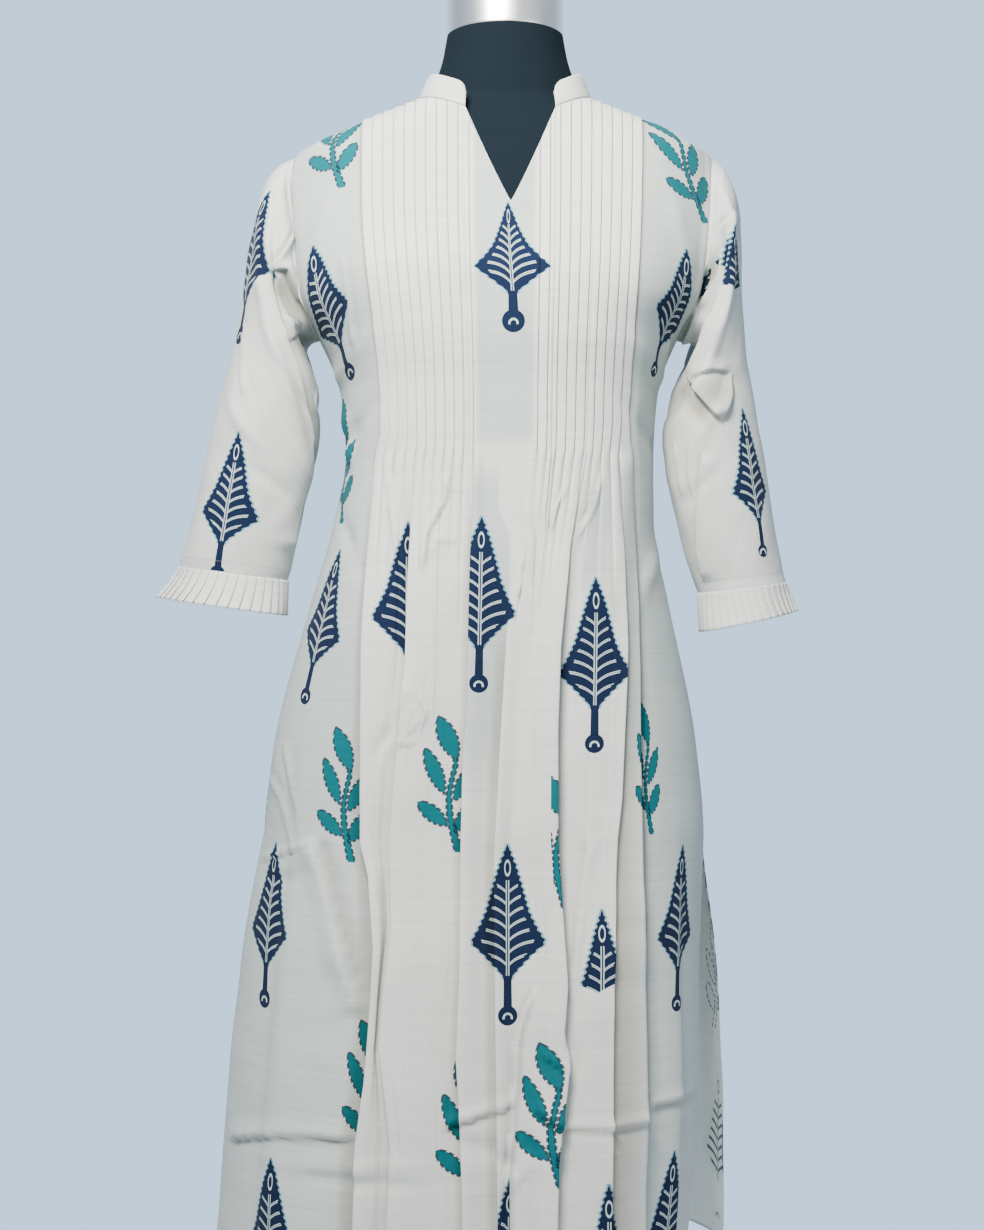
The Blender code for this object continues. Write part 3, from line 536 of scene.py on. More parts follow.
def top_z(lane, panel):
    """Where each lane meets the neck edge or the shoulder seam."""
    z = np.full_like(lane, NECK_POINT_Z)
    for _ in range(30):
        x = lane_x(lane, z, panel)
        goal = np.where(np.abs(x) < NECK_POINT_X, neck_z(x, panel), ridge_z(x))
        z = z + (goal - z) * 0.6
    return z


def front_columns():
    """The lanes of the front, with the number of the tuck and the place across it, if any."""
    pitch = (TUCK_LANE - INNER_TUCK) / (TUCKS - 1)
    half = []
    for tuck in range(TUCKS):
        edge = INNER_TUCK + tuck * pitch
        for step, (inward, _) in enumerate(TUCK_PROFILE):
            half.append((edge - inward / 1000 / LANE_WIDTH, tuck, step))
    start = TUCK_LANE + 0.6 / 1000 / LANE_WIDTH
    for i in range(1, SIDE_COLUMNS + 1):
        half.append((start + (1 - start) * sin(pi / 2 * (i / SIDE_COLUMNS) ** 0.9), -1, 0))
    centre = INNER_TUCK - TUCK_PROFILE[-1][0] / 1000 / LANE_WIDTH
    columns = [(-lane, tuck, step) for lane, tuck, step in half] + half
    for i in range(1, CENTRE_COLUMNS):
        columns.append((-centre + 2 * centre * i / CENTRE_COLUMNS, -1, 0))
    for extra in (-NECK_POINT_X, V_MIDDLE_X - V_HALF_WIDTH, V_MIDDLE_X, V_MIDDLE_X + V_HALF_WIDTH,
                  NECK_POINT_X):
        tucked = read(TUCKED, "left" if extra < 0 else "right", V_TOP_Z)
        columns.append((extra / tucked * TUCK_LANE, -2, 0))
    return sorted(columns)


def back_lanes():
    """The lanes of the back, closer towards the side edges."""
    even = np.linspace(-1, 1, BACK_COLUMNS)
    return np.sin(even * pi / 2 * 0.92) / sin(pi / 2 * 0.92)


def row_heights(lanes, panel):
    """The heights of each lane's points, rows first, from the hem to its top edge."""
    tops = top_z(lanes, panel)
    below = np.linspace(HEM_Z, UNDERARM_Z, SKIRT_ROWS, endpoint=False)
    shares = (np.linspace(1, 0, YOKE_ROWS) ** 1.5)[:, None]
    above = tops[None, :] - (tops[None, :] - UNDERARM_Z) * shares
    return np.concatenate([np.repeat(below[:, None], len(lanes), axis=1), above])


def grid_normals(points, wrap=False):
    """Unit normals of a grid of points, by (along the row) x (up the column)."""
    if wrap:
        along = np.roll(points[:, :-1], -1, axis=1) - np.roll(points[:, :-1], 1, axis=1)
        along = np.concatenate([along, along[:, :1]], axis=1)
    else:
        along = np.gradient(points, axis=1)
    up = np.gradient(points, axis=0)
    normals = np.cross(along, up)
    return normals / np.maximum(np.linalg.norm(normals, axis=2, keepdims=True), 1e-12)


def smooth_noise(shape, rows, columns, wrap=False):
    """A grid of soft random heights from -1 to 1, with about this many swells each way."""
    rough = chance.uniform(-1, 1, (rows + 3, columns + 3))
    if wrap:
        rough[:, -3:] = rough[:, :3]
        place_x = np.linspace(0, columns, shape[1])
    else:
        place_x = np.linspace(0, columns - 0.001, shape[1])
    place_y = np.linspace(0, rows - 0.001, shape[0])

    def weights(place):
        start = np.floor(place).astype(int)
        t = place - start
        parts = [(1 - t) ** 3 / 6, (3 * t**3 - 6 * t**2 + 4) / 6,
                 (-3 * t**3 + 3 * t**2 + 3 * t + 1) / 6, t**3 / 6]
        return start, parts

    start_y, parts_y = weights(place_y)
    start_x, parts_x = weights(place_x)
    total = np.zeros(shape)
    for a in range(4):
        for b in range(4):
            cell = rough[np.minimum(start_y + a, rows + 2)[:, None],
                         np.minimum(start_x + b, columns + 2)[None, :]]
            total += cell * parts_y[a][:, None] * parts_x[b][None, :]
    return total * 2.0


def swelling(shape, swells, wrap=False):
    """Soft uneven swells of some sizes, added up."""
    return sum(tall * smooth_noise(shape, rows, columns, wrap) for tall, rows, columns in swells)


def fold_routes(folds, lanes, z, panel):
    """How far the folds' routes pull the cloth to the side, eased from each fold to the next."""
    routed = [fold for fold in folds if fold.route]
    stops, moves = [-1.0], [np.zeros_like(z)]
    for fold in routed:
        heights, places = np.array(fold.route).T
        lane = np.full_like(z, fold.lane)
        level = np.clip(z, HEM_Z, heights[-1])
        move = np.interp(level, heights, places) - lane_x(lane, level, panel)
        stops.append(fold.lane)
        moves.append(move * ease((heights[-1] + 0.03 - z) / 0.03))
    stops.append(1.0)
    moves.append(np.zeros_like(z))
    shift = np.zeros_like(z)
    for start, stop, before, after in zip(stops, stops[1:], moves, moves[1:]):
        inside = (lanes[None, :] >= start) & (lanes[None, :] <= stop)
        share = ease((lanes[None, :] - start) / (stop - start))
        shift = np.where(inside, before + (after - before) * share, shift)
    return shift


def fold_shape(folds, lanes, z):
    """How far the released folds stand out, shift the cloth to the side, and how much painted shade
    darkens its foot.
    """
    lane = lanes[None, :]
    height, shift, shade = np.zeros_like(z), np.zeros_like(z), np.zeros_like(z)
    for fold in folds:
        inside = (fold.lane - lane) * fold.faces
        grown = ease((fold.start - z) / FOLD_FULL_DROP)
        before = ease(1 + inside / FOLD_EDGE)
        after = ease(1 - inside / fold.reach)
        rise = np.where(inside < 0, before, np.where(inside > fold.reach, 0.0, after))
        if fold.lap:
            distance = inside * LANE_WIDTH * 1000
            turned = np.interp(distance, *LAP_SHIFT)
            rise = np.where(distance < 3.0, np.interp(distance, *LAP_RISE), rise)
            lapped = ease((fold.start - z) / 0.12)
            shift -= fold.faces * fold.lap * lapped * turned
            shade = np.maximum(shade, lapped * np.interp(distance, *LAP_SHADE))
            grown = grown * 0.8 + 0.2 * lapped
        height += fold.height * grown * rise
    return height, shift, shade


def mark_height(marks, x, z):
    """The sum of a panel's listed creases."""
    height = np.zeros_like(z)
    for mark in marks:
        turn = radians(mark.turn)
        across, up = x - mark.x, z - mark.z
        length = across * cos(turn) + up * sin(turn)
        width = up * cos(turn) - across * sin(turn)
        uneven = 1 + 0.25 * np.sin(length * 140 + mark.x * 300)
        height += mark.height * uneven * bell(width / mark.width) * bell(length / mark.length)
    return height


def photo_pixels(points):
    """Where points of the model fall in the photo's frame."""
    scale = 1.8 / (METRES_A_PIXEL * (points[..., 1] - CAMERA_PLACE[1]))
    px = PHOTO_WIDTH / 2 + (points[..., 0] - CAMERA_PLACE[0]) * scale
    py = PHOTO_HEIGHT / 2 - (points[..., 2] - CAMERA_PLACE[2]) * scale
    return px, py


def route_places(route, px, py):
    """How far pixels lie beside a route and along it in millimetres, and how long it is."""
    near = np.full_like(px, 1e9)
    beside, along = np.zeros_like(px), np.zeros_like(px)
    done = 0.0
    for (x0, y0), (x1, y1) in zip(route, route[1:]):
        dx, dy = x1 - x0, y1 - y0
        length = (dx * dx + dy * dy) ** 0.5
        share = np.clip(((px - x0) * dx + (py - y0) * dy) / length**2, 0, 1)
        off_x, off_y = px - x0 - share * dx, py - y0 - share * dy
        far = np.hypot(off_x, off_y)
        closer = far < near
        near = np.where(closer, far, near)
        beside = np.where(closer, far * np.sign(off_x * dy - off_y * dx), beside)
        along = np.where(closer, done + share * length, along)
        done += length
    scale = METRES_A_PIXEL * 1000
    return beside * scale, along * scale, done * scale


def pressed_shape(bends, dabs, base, facing):
    """How far pressed folds and soft hollows raise the cloth that the camera sees, and how much painted
    shade darkens it.
    """
    px, py = photo_pixels(base)
    height, shade = np.zeros_like(px), np.zeros_like(px)
    for bend in bends:
        beside, along, length = route_places(bend.route, px, py)
        beside = beside * np.sign(bend.height)
        ends = ease(along / 14) * ease((length - along) / 14)
        soft = 0.7 + max(bend.fall - 8, 0) * 0.15
        raised = ease((beside + soft) / soft / 2)
        foot = 1 - ease(-beside / bend.fall)
        uneven = 1 + 0.2 * np.sin(along / 17 + bend.rise)
        step = raised * (1 - ease(beside / bend.rise)) - 0.4 * (1 - raised) * foot
        height += abs(bend.height) * step * uneven * ends
        shade = np.maximum(shade, bend.dark * (1 - raised) * foot**1.5 * ends)
    for dab in dabs:
        turn = radians(dab.turn)
        across = (px - dab.x) * METRES_A_PIXEL * 1000
        up = (dab.y - py) * METRES_A_PIXEL * 1000
        along = across * cos(turn) + up * sin(turn)
        beside = up * cos(turn) - across * sin(turn)
        share = bell(beside / dab.width) * bell(along / dab.length)
        height += dab.height * share
        shade = np.maximum(shade, dab.dark * share)
    return height * facing, shade * facing


def tuck_shape(columns, z):
    """The sewn tucks, their soft feet, and the ripples that they leave below."""
    tucks = np.array([tuck for _, tuck, _ in columns])
    steps = np.array([step for _, _, step in columns])
    lanes = np.array([lane for lane, _, _ in columns])
    profile = np.array([height / 1000 for _, height in TUCK_PROFILE])
    inward = np.array([place for place, _ in TUCK_PROFILE])
    sewn_height = np.where(tucks >= 0, profile[steps], 0.0)[None, :]
    sewn = ease((z - TUCK_END_Z) / 0.010 + 0.5)
    height = sewn_height * sewn
    for side in (-1, 1):
        for tuck in range(TUCKS):
            mine = (tucks == tuck) & (np.sign(lanes) == side)
            swell = np.where(mine, np.sin(np.clip((inward[steps] + 0.6) / 9.6, 0, 1) * pi), 0.0)
            drop = chance.uniform(0.10, 0.26)
            tall = chance.uniform(0.0010, 0.0034)
            left_over = ease((z - TUCK_END_Z + drop) / drop) * (1 - sewn)
            height += tall * swell[None, :] * left_over
    return height


def pieces_lengths(points):
    """How far each point of a grid lies along its row and up its column, along the surface."""
    along = np.linalg.norm(np.diff(points, axis=1), axis=2)
    along = np.concatenate([np.zeros((len(points), 1)), np.cumsum(along, axis=1)], axis=1)
    up = np.linalg.norm(np.diff(points, axis=0), axis=2)
    up = np.concatenate([np.zeros((1, points.shape[1])), np.cumsum(up, axis=0)])
    return along, up


# A piece of cloth as a grid: its points, the plain surface under them, the lengths along and up
# the surface, the places of its columns and rows, and the painted shade of its folds.
Cloth = namedtuple("Cloth", "points base along up lanes places shade", defaults=(None,))


def panel_surface(lanes, panel, middle):
    """A panel's plain surface, with lengths from its middle column, and how far its edges hold."""
    z = row_heights(lanes, panel)
    x = lane_x(lanes[None, :], z, panel)
    base = np.stack([x, panel_depth(x, z, panel), z], axis=2)
    along, up = pieces_lengths(base)
    edge = ease((1 - np.abs(lanes)) / 0.03)[None, :]
    held = np.where(z > SLIT_TOP_Z, edge, 1.0)
    hem = ease((HEM_FOLD_Z - z) / 0.001) * HEM_FOLD_RISE
    return x, z, base, along - along[:, middle][:, None], up, held, hem


def front_panel():
    """The front with its tucks, released folds and pressed creases."""
    columns = front_columns()
    lanes = np.array([lane for lane, _, _ in columns])
    x, z, base, along, up, held, hem = panel_surface(lanes, "front", np.argmin(np.abs(lanes)))
    folds, lap, shade = fold_shape(FRONT_FOLDS, lanes, z)
    shift = lap + fold_routes(FRONT_FOLDS, lanes, z, "front")
    tucks = tuck_shape(columns, z)
    at_top = ease((z[-1][None, :] - z) / 0.004)
    soft = swelling(z.shape, FRONT_SWELLS)
    side = ease((np.abs(lanes) - TUCK_LANE) / 0.08)[None, :]
    loose = np.maximum(side, ease((TUCK_END_Z - z) / 0.12))
    height = tucks * at_top + folds + (soft * loose * at_top + mark_height(FRONT_MARKS, x, z)) * held
    pressed, foot = pressed_shape(FRONT_BENDS, [], base, 1.0)
    height = height + pressed * held
    tangent = np.gradient(base, axis=1)
    tangent /= np.maximum(np.linalg.norm(tangent, axis=2, keepdims=True), 1e-9)
    points = base + grid_normals(base) * (height + hem)[:, :, None] + tangent * shift[:, :, None]
    # Painted shade of lapped folds, tuck feet and pressed fold feet, for the material.
    shade = np.maximum.reduce([shade, tuck_foot_painted_shade(columns, z), foot])
    return Cloth(points, base, along + shift, up, lanes, z, shade)


def back_panel():
    """The plain back with its soft folds."""
    lanes = back_lanes()[::-1]
    x, z, base, along, up, held, hem = panel_surface(lanes, "back", len(lanes) // 2)
    folds, _, _ = fold_shape(BACK_FOLDS, lanes, z)
    at_top = ease((z[-1][None, :] - z) / 0.012)
    soft = swelling(z.shape, BACK_SWELLS) * at_top
    height = folds + (soft + mark_height(BACK_MARKS, x, z)) * held
    points = base + grid_normals(base) * (height + hem)[:, :, None]
    return Cloth(points, base, along, up, lanes, z)


def ring_points(ring, turns):
    """The points of an oval ring at these turns, 0 on its outer side and a quarter in front."""
    outer = np.array([ring.outer_x, ring.middle_y, ring.outer_z])
    inner = np.array([ring.inner_x, ring.middle_y, ring.inner_z])
    middle, half = (outer + inner) / 2, (outer - inner) / 2
    depth = np.array([0, -ring.depth, 0])
    return middle + half * np.cos(turns)[:, None] + depth * np.sin(turns)[:, None]


def armhole_points(side, turns):
    """The armhole edge of the panels at these turns, from the shoulder tip down the front."""
    share = (1 - np.cos(turns)) / 2
    lane = np.full_like(turns, float(side))
    tops = top_z(lane, "front")
    z = tops - (tops - UNDERARM_Z) * share
    x = lane_x(lane, z, "front")
    front, behind = panel_depth(x, z, "front"), panel_depth(x, z, "back")
    y = np.where(np.sin(turns) >= 0, front, behind)
    y = np.where(np.abs(np.sin(turns)) < 1e-6, 0.0, y)
    return np.stack([x + side * 0.0003, y, z], axis=1)


def between_rings(rings, places):
    """A smooth surface through rings of points, read at these places along them."""
    last = len(rings) - 1
    surface = []
    for place in places:
        i = min(int(place), last - 1)
        t = place - i
        a, b, c, d = (rings[min(max(k, 0), last)] for k in (i - 1, i, i + 1, i + 2))
        surface.append(0.5 * (
            2 * b + (c - a) * t + (2 * a - 5 * b + 4 * c - d) * t**2 + (3 * b - a - 3 * c + d) * t**3))
    return np.array(surface)


def sleeve(side, rings, creases, bends, dabs):
    """A sleeve from the armhole to its cuff, as a tube."""
    before = np.linspace(0, pi, SLEEVE_FRONT_COLUMNS, endpoint=False)
    turns = np.concatenate([before, np.linspace(pi, 2 * pi, SLEEVE_BACK_COLUMNS)])
    places = np.linspace(0, len(rings), SLEEVE_ROWS)
    knots = [armhole_points(side, turns)] + [ring_points(ring, turns) for ring in rings]
    base = between_rings(knots, places)
    normals = grid_normals(base, wrap=True)
    middle = base[:, :-1].mean(axis=1, keepdims=True)
    if (normals * (base - middle)).sum() < 0:
        normals = -normals
    along, down = pieces_lengths(base)
    height = np.zeros(base.shape[:2])
    for crease in creases:
        lengthwise = (places[:, None] - crease.ring) * CREASE_PITCH
        turn_gap = (turns[None, :] - radians(crease.turn) + pi) % (2 * pi) - pi
        round_by = turn_gap * SLEEVE_RADIUS
        slant = radians(crease.slant)
        length = lengthwise * cos(slant) + round_by * sin(slant)
        width = round_by * cos(slant) - lengthwise * sin(slant)
        height += crease.height * bell(width / crease.width) * bell(length / crease.length)
    soft = swelling(height.shape, SLEEVE_SWELLS, wrap=True)
    ends = ease(places / 0.5) * ease((len(rings) - places) / 0.35)
    facing = ease(-normals[:, :, 1] / 0.3)
    # Pressed folds raise the cloth, and painted shade darkens their feet and the hollows.
    pressed, shade = pressed_shape(bends, dabs, base, facing)
    height = (height + soft + pressed) * ends[:, None]
    points = base + normals * height[:, :, None]
    return Cloth(points, base, along, down, turns, places, shade * ends[:, None])


def frill(top, bottom):
    """Knife pleats, each lapping over the next, that hang from the sleeve's last ring."""
    axis = np.array([bottom.outer_x + bottom.inner_x - top.outer_x - top.inner_x, 0,
                     bottom.outer_z + bottom.inner_z - top.outer_z - top.inner_z])
    axis /= np.linalg.norm(axis)
    turns, heights = [], []
    for pleat in range(FRILL_PLEATS):
        for across, height in PLEAT_PROFILE:
            turns.append(2 * pi * (pleat + across) / FRILL_PLEATS)
            heights.append(height)
    turns, heights = np.array(turns + [2 * pi]), np.array(heights + [0.0])
    rows = []
    for share in np.linspace(0, 1, FRILL_ROWS):
        flare = share**1.4
        mixed = [a + (b - a) * (share if name.endswith("z") else flare)
                 for name, a, b in zip(Ring._fields, top, bottom)]
        ring = ring_points(Ring(*mixed), turns)
        middle = ring.mean(axis=0)
        out = ring - middle
        out /= np.linalg.norm(out, axis=1, keepdims=True)
        wave = 0.0012 * share * np.sin(turns * 5 + share * 1.5)[:, None]
        pleat = FRILL_PLEAT_HEIGHT * (0.35 + 0.65 * share) * heights[:, None]
        rows.append(ring + axis * 0.0004 + out * (pleat + wave))
    points = np.array(rows)
    along, down = pieces_lengths(points)
    return Cloth(points, points, along, down, turns, np.linspace(0, 1, FRILL_ROWS))


def neck_route():
    """The neck edge from the left end of the collar round the back to the right end."""
    left = np.linspace(V_MIDDLE_X - V_HALF_WIDTH, -NECK_POINT_X, 24)
    behind = -NECK_POINT_X * np.cos(np.linspace(0, pi, 60))
    right = np.linspace(NECK_POINT_X, V_MIDDLE_X + V_HALF_WIDTH, 24)

    def edge(x, panel):
        z = neck_z(x, panel)
        return np.stack([x, panel_depth(x, z, panel), z], axis=1)

    route = np.concatenate([edge(left, "front")[:-1], edge(behind, "back"), edge(right, "front")[1:]])
    lengths = np.concatenate([[0], np.cumsum(np.linalg.norm(np.diff(route, axis=0), axis=1))])
    even = np.linspace(0, lengths[-1], COLLAR_COLUMNS)
    smooth = np.stack([np.interp(even, lengths, route[:, k]) for k in range(3)], axis=1)
    for _ in range(6):
        smooth[1:-1] = (smooth[:-2] + 2 * smooth[1:-1] + smooth[2:]) / 4
    return smooth, even


def collar():
    """The standing band with its two rounded corners at the V."""
    route, lengths = neck_route()
    tangent = np.gradient(route, axis=0)
    out = np.stack([-tangent[:, 1], tangent[:, 0], np.zeros(len(route))], axis=1)
    out /= np.linalg.norm(out, axis=1, keepdims=True)
    out *= np.sign((out * route * [1, 1, 0]).sum(axis=1, keepdims=True))
    from_end = np.minimum(np.minimum(lengths, lengths[-1] - lengths), COLLAR_CORNER)
    drop = COLLAR_CORNER - np.sqrt(COLLAR_CORNER**2 - (COLLAR_CORNER - from_end) ** 2)
    lean = COLLAR_FRONT_LEAN + (COLLAR_LEAN - COLLAR_FRONT_LEAN) * np.abs(out[:, 0])
    rows = []
    for share in np.linspace(0, 1, COLLAR_ROWS):
        rise = (0.0004 + share * (COLLAR_HEIGHT - drop))[:, None] * np.array([0, 0, 1])
        crown = 0.0006 * (1 - (2 * share - 1) ** 4)
        rows.append(route + rise + out * (crown - lean * share)[:, None])
    points = np.array(rows)
    along, up = pieces_lengths(points)
    return Cloth(points, points, along, up, lengths, np.linspace(0, 1, COLLAR_ROWS))


def torso_points():
    """The padded torso with its flat arm plates and neck, closed underneath."""
    heights = np.concatenate([
        np.linspace(FORM[0].z, SHOULDER_TIP_Z - 0.01, 90),
        np.linspace(SHOULDER_TIP_Z - 0.008, 1.4214, 26),
        np.linspace(NECK_BOTTOM_Z, FORM[-1].z, 18),
    ])
    turns = np.linspace(0, 2 * pi, FORM_COLUMNS + 1)
    sides = np.where(np.cos(turns) < 0, -1.0, 1.0)
    rows = []
    for z in heights:
        level = np.full_like(turns, z)
        on_neck = z >= NECK_BOTTOM_Z
        reach = sided(FORM, sides, level)
        if not on_neck and z > SHOULDER_TIP_Z - 0.01:
            reach = np.minimum(reach, sided(BODY, sides, level + SHOULDER_REST))
        depth = np.where(np.sin(turns) > 0, read(FORM, "front", level), read(FORM, "back", level))
        x = reach * np.abs(np.cos(turns)) ** 0.92 * sides
        power = 2.0 if on_neck else SECTION_POWER
        y = depth * np.sqrt(np.maximum(0.0, 1 - np.abs(x / reach) ** power))
        rows.append(np.stack([x, np.where(np.sin(turns) > 0, -y, y), level], axis=1))
    first = rows[0]
    middle = np.array([0, 0, FORM[0].z])
    bottom = [middle + (first - middle) * share for share in (0.001, 0.3, 0.6, 0.85, 0.96)]
    return np.array(bottom + rows)


def cap_points():
    """The bright cap on the neck, with a rolled lower rim and a low dome."""
    side_top = CAP_BOTTOM_Z + CAP_SIDE
    profile = [(0.0001, CAP_BOTTOM_Z + 0.0002), (0.050, CAP_BOTTOM_Z + 0.0002)]
    profile += [(CAP_RADIUS - 0.001 + 0.001 * sin(a), CAP_BOTTOM_Z + 0.001 - 0.001 * cos(a))
                for a in np.linspace(0, pi / 2, 5)]
    profile += [(CAP_RADIUS, z) for z in np.linspace(CAP_BOTTOM_Z + 0.004, side_top - 0.003, 6)]
    shoulder = side_top - 0.003
    profile += [(max(CAP_RADIUS * cos(a), 0.0001), shoulder + (CAP_DOME + 0.003) * sin(a))
                for a in np.linspace(0.04, pi / 2, 20)]
    turns = np.linspace(0, 2 * pi, 97)
    across, deep, level = np.cos(turns), np.sin(turns), np.ones_like(turns)
    return np.array([np.stack([r * across, NECK_MIDDLE_Y + r * deep, z * level], axis=1)
                     for r, z in profile])


def grid_object(name, points, inside):
    """An object from a flat grid whose vertices go to these points, its faces turned away from a
    place inside, with the grid places of its vertices and of its faces' corners."""
    rows, columns = points.shape[:2]
    bm = bmesh.new()
    bmesh.ops.create_grid(bm, x_segments=columns - 1, y_segments=rows - 1, size=1)
    mesh = bpy.data.meshes.new(name)
    bm.to_mesh(mesh)
    bm.free()
    flat = np.empty(len(mesh.vertices) * 3)
    mesh.vertices.foreach_get("co", flat)
    flat = flat.reshape(-1, 3)
    column = np.rint((flat[:, 0] + 1) / 2 * (columns - 1)).astype(int)
    row = np.rint((flat[:, 1] + 1) / 2 * (rows - 1)).astype(int)
    place = row * columns + column
    mesh.vertices.foreach_set("co", points.reshape(-1, 3)[place].ravel())
    mesh.update()
    normals, centres = np.empty((2, len(mesh.polygons) * 3))
    mesh.polygons.foreach_get("normal", normals)
    mesh.polygons.foreach_get("center", centres)
    away = centres.reshape(-1, 3) - np.array(inside)
    if (normals.reshape(-1, 3) * away).sum() < 0:
        mesh.flip_normals()
    corner = np.empty(len(mesh.loops), dtype=int)
    mesh.loops.foreach_get("vertex_index", corner)
    made = bpy.data.objects.new(name, mesh)
    bpy.context.collection.objects.link(made)
    mesh.shade_smooth()
    return made, place, place[corner]


def add_map(mesh, name, values):
    """A UV map from two values for each face corner."""
    layer = mesh.uv_layers.new(name=name)
    layer.data.foreach_set("uv", np.ascontiguousarray(values, dtype=np.float32).ravel())


def add_share(mesh, name, values):
    """A number for each vertex."""
    layer = mesh.attributes.new(name, "FLOAT", "POINT")
    layer.data.foreach_set("value", np.ascontiguousarray(values, dtype=np.float32).ravel())


def close_seam(made):
    """Joins the first and last columns of a tube, which lie on each other."""
    bm = bmesh.new()
    bm.from_mesh(made.data)
    bmesh.ops.remove_doubles(bm, verts=bm.verts, dist=0.00002)
    bm.to_mesh(made.data)
    bm.free()
    made.data.shade_smooth()


# The print. Leaf: a dark pointed leaf on a stalk with a ring. Sprig: a stem with five leaves.
# Each is placed by the pixels of its tip, with its width and length in millimetres, its lean
# from upright in degrees, the lanes between which it shows, the share of its length that shows,
# how far its width is pressed together, and how far below its tip the pixels lie, in metres.
Motif = namedtuple("Motif", "kind x y width length lean low high cut squeeze drop",
                   defaults=(-1.0, 1.0, 1.0, 1.0, 0.0))
NO_PRINT = -1.0
SPRIG_SHIFT = 1.0
FRONT_PRINT = [
    Motif("leaf", 506, 201, 77, 124, 0, -0.165, 0.3),
    Motif("leaf", 312, 245, 60, 136, -17, -1.0, -0.7),
    Motif("leaf", 686, 250, 54, 128, 15, 0.7, 1.0),
    Motif("leaf", 408, 520, 61, 158, 0, -0.7, -0.49, 0.74),
    Motif("leaf", 483, 516, 61, 158, 1, -0.175, 0.4375),
    Motif("leaf", 596, 579, 62, 158, 1, 0.4375, 0.6475),
    Motif("leaf", 341, 548, 58, 150, 12, -1.0, -0.7),
    Motif("leaf", 276, 842, 62, 150, 2, -1.0, -0.7),
    Motif("leaf", 508, 845, 62, 158, 0, -0.175, 0.4375),
    Motif("leaf", 602, 911, 46, 158, 1, 0.4375, 0.6475, 0.43),
    Motif("leaf", 683, 845, 54, 150, 3, 0.7, 1.0),
    Motif("leaf", 270, 1157, 66, 156, 1, -1.0, -0.7),
    Motif("leaf", 509, 1177, 50, 158, 0, -0.04, 0.045),
    Motif("leaf", 607, 1182, 46, 158, 0, 0.4375, 0.7),
    Motif("leaf", 674, 1152, 54, 150, 4, 0.7, 1.0),
    Motif("sprig", 345, 396, 119, 119, 3, -1.0, -0.7),
    Motif("sprig", 346, 726, 119, 128, 0, -1.0, -0.7),
    Motif("sprig", 451, 716, 119, 132, 0, -0.49, -0.175),
    Motif("sprig", 559, 776, 119, 119, 0, 0.395, 0.4375),
    Motif("sprig", 645, 704, 119, 119, 0, 0.6475, 1.0, 1.0, 0.62),
    Motif("sprig", 368, 1022, 119, 119, 0, -0.86, -0.7),
    Motif("sprig", 470, 1064, 119, 119, 0, -0.49, -0.175),
    Motif("sprig", 555, 1046, 119, 119, 2, 0.045, 0.4375),
    Motif("sprig", 624, 1000, 119, 119, 0, 0.7, 1.0),
]
SHOULDER_PRINT = [
    Motif("sprig", 336, 191, 119, 119, -12, -1.0, -0.7, 1.0, 1.0, 0.119),
    Motif("sprig", 700, 224, 119, 119, -8, 0.7, 1.0, 1.0, 1.0, 0.119),
]
LEFT_SLEEVE_PRINT = [
    Motif("leaf", 270, 191, 60, 136, 10),
    Motif("leaf", 238, 432, 54, 140, 10),
]
RIGHT_SLEEVE_PRINT = [
    Motif("leaf", 736, 225, 46, 136, 1, -1.0, 1.0, 0.42),
    Motif("leaf", 742, 408, 42, 142, -5),
]

# Motifs of the back, and the pitch, shift and start of their rows
BACK_PRINT = (("sprig", 119, 125), ("leaf", 61, 158))
BACK_PRINT_ALONG = 0.092
BACK_PRINT_UP = 0.1545
BACK_PRINT_SHIFT = 0.02
BACK_PRINT_TOP = 0.06

# Motifs on the hidden side of a sleeve: their sizes and lean, ring number and turn of the tip.
HIDDEN_SIZES = {"leaf": (56, 150), "sprig": (119, 119)}
HIDDEN_LEAN = 6
HIDDEN_PRINT = [("sprig", 0.9, 262), ("leaf", 3.6, 296), ("sprig", 6.2, 240), ("leaf", 3.3, 222)]


def outward_normals(cloth):
    """Directions out of a piece's plain surface."""
    normals = grid_normals(cloth.base)
    middle = cloth.base.mean(axis=(0, 1))
    return normals if (normals * (cloth.base - middle)).sum() > 0 else -normals


def seen_at(cloth, normals, motif):
    """The grid place that the camera sees at a motif's pixel."""
    px, py = photo_pixels(cloth.points)
    far = (px - motif.x) ** 2 + (py - motif.y) ** 2 + np.where(normals[:, :, 1] < 0, 0.0, 1e9)
    return np.unravel_index(np.argmin(far), far.shape)


def turned(motif, across, down):
    """Coordinates in a motif's own frame, down from its tip."""
    turn = radians(motif.lean)
    x = across * cos(turn) + down * sin(turn)
    return x / motif.squeeze, down * cos(turn) - across * sin(turn) + motif.drop


def on_cloth(cloth, motifs):
    """Motifs laid along the cloth itself."""
    normals = outward_normals(cloth)
    placed = []
    for motif in motifs:
        i, j = seen_at(cloth, normals, motif)
        x, y = turned(motif, cloth.along - cloth.along[i, j], cloth.up[i, j] - cloth.up)
        placed.append((motif, x, y))
    return placed


def on_plane(cloth, motif, normals, i, j):
    """A motif laid flat on the cloth around one grid place."""
    normal = normals[i, j]
    down = np.array([0, 0, -1]) + normal * normal[2]
    down /= np.linalg.norm(down)
    across = np.cross(normal, down)
    away = cloth.points - cloth.points[i, j]
    x, y = turned(motif, away @ across, away @ down)
    return motif, x, np.where(normals @ normal > 0.12, y, -1.0)


def on_planes(cloth, motifs, hidden=()):
    """Motifs laid flat on a piece, seen ones and hidden ones."""
    normals = outward_normals(cloth)
    placed = [on_plane(cloth, motif, normals, *seen_at(cloth, normals, motif)) for motif in motifs]
    for kind, ring, turn in hidden:
        i = np.argmin(np.abs(cloth.places - ring))
        j = np.argmin(np.abs(cloth.lanes - radians(turn)))
        motif = Motif(kind, 0, 0, *HIDDEN_SIZES[kind], HIDDEN_LEAN)
        placed.append(on_plane(cloth, motif, normals, i, j))
    return placed


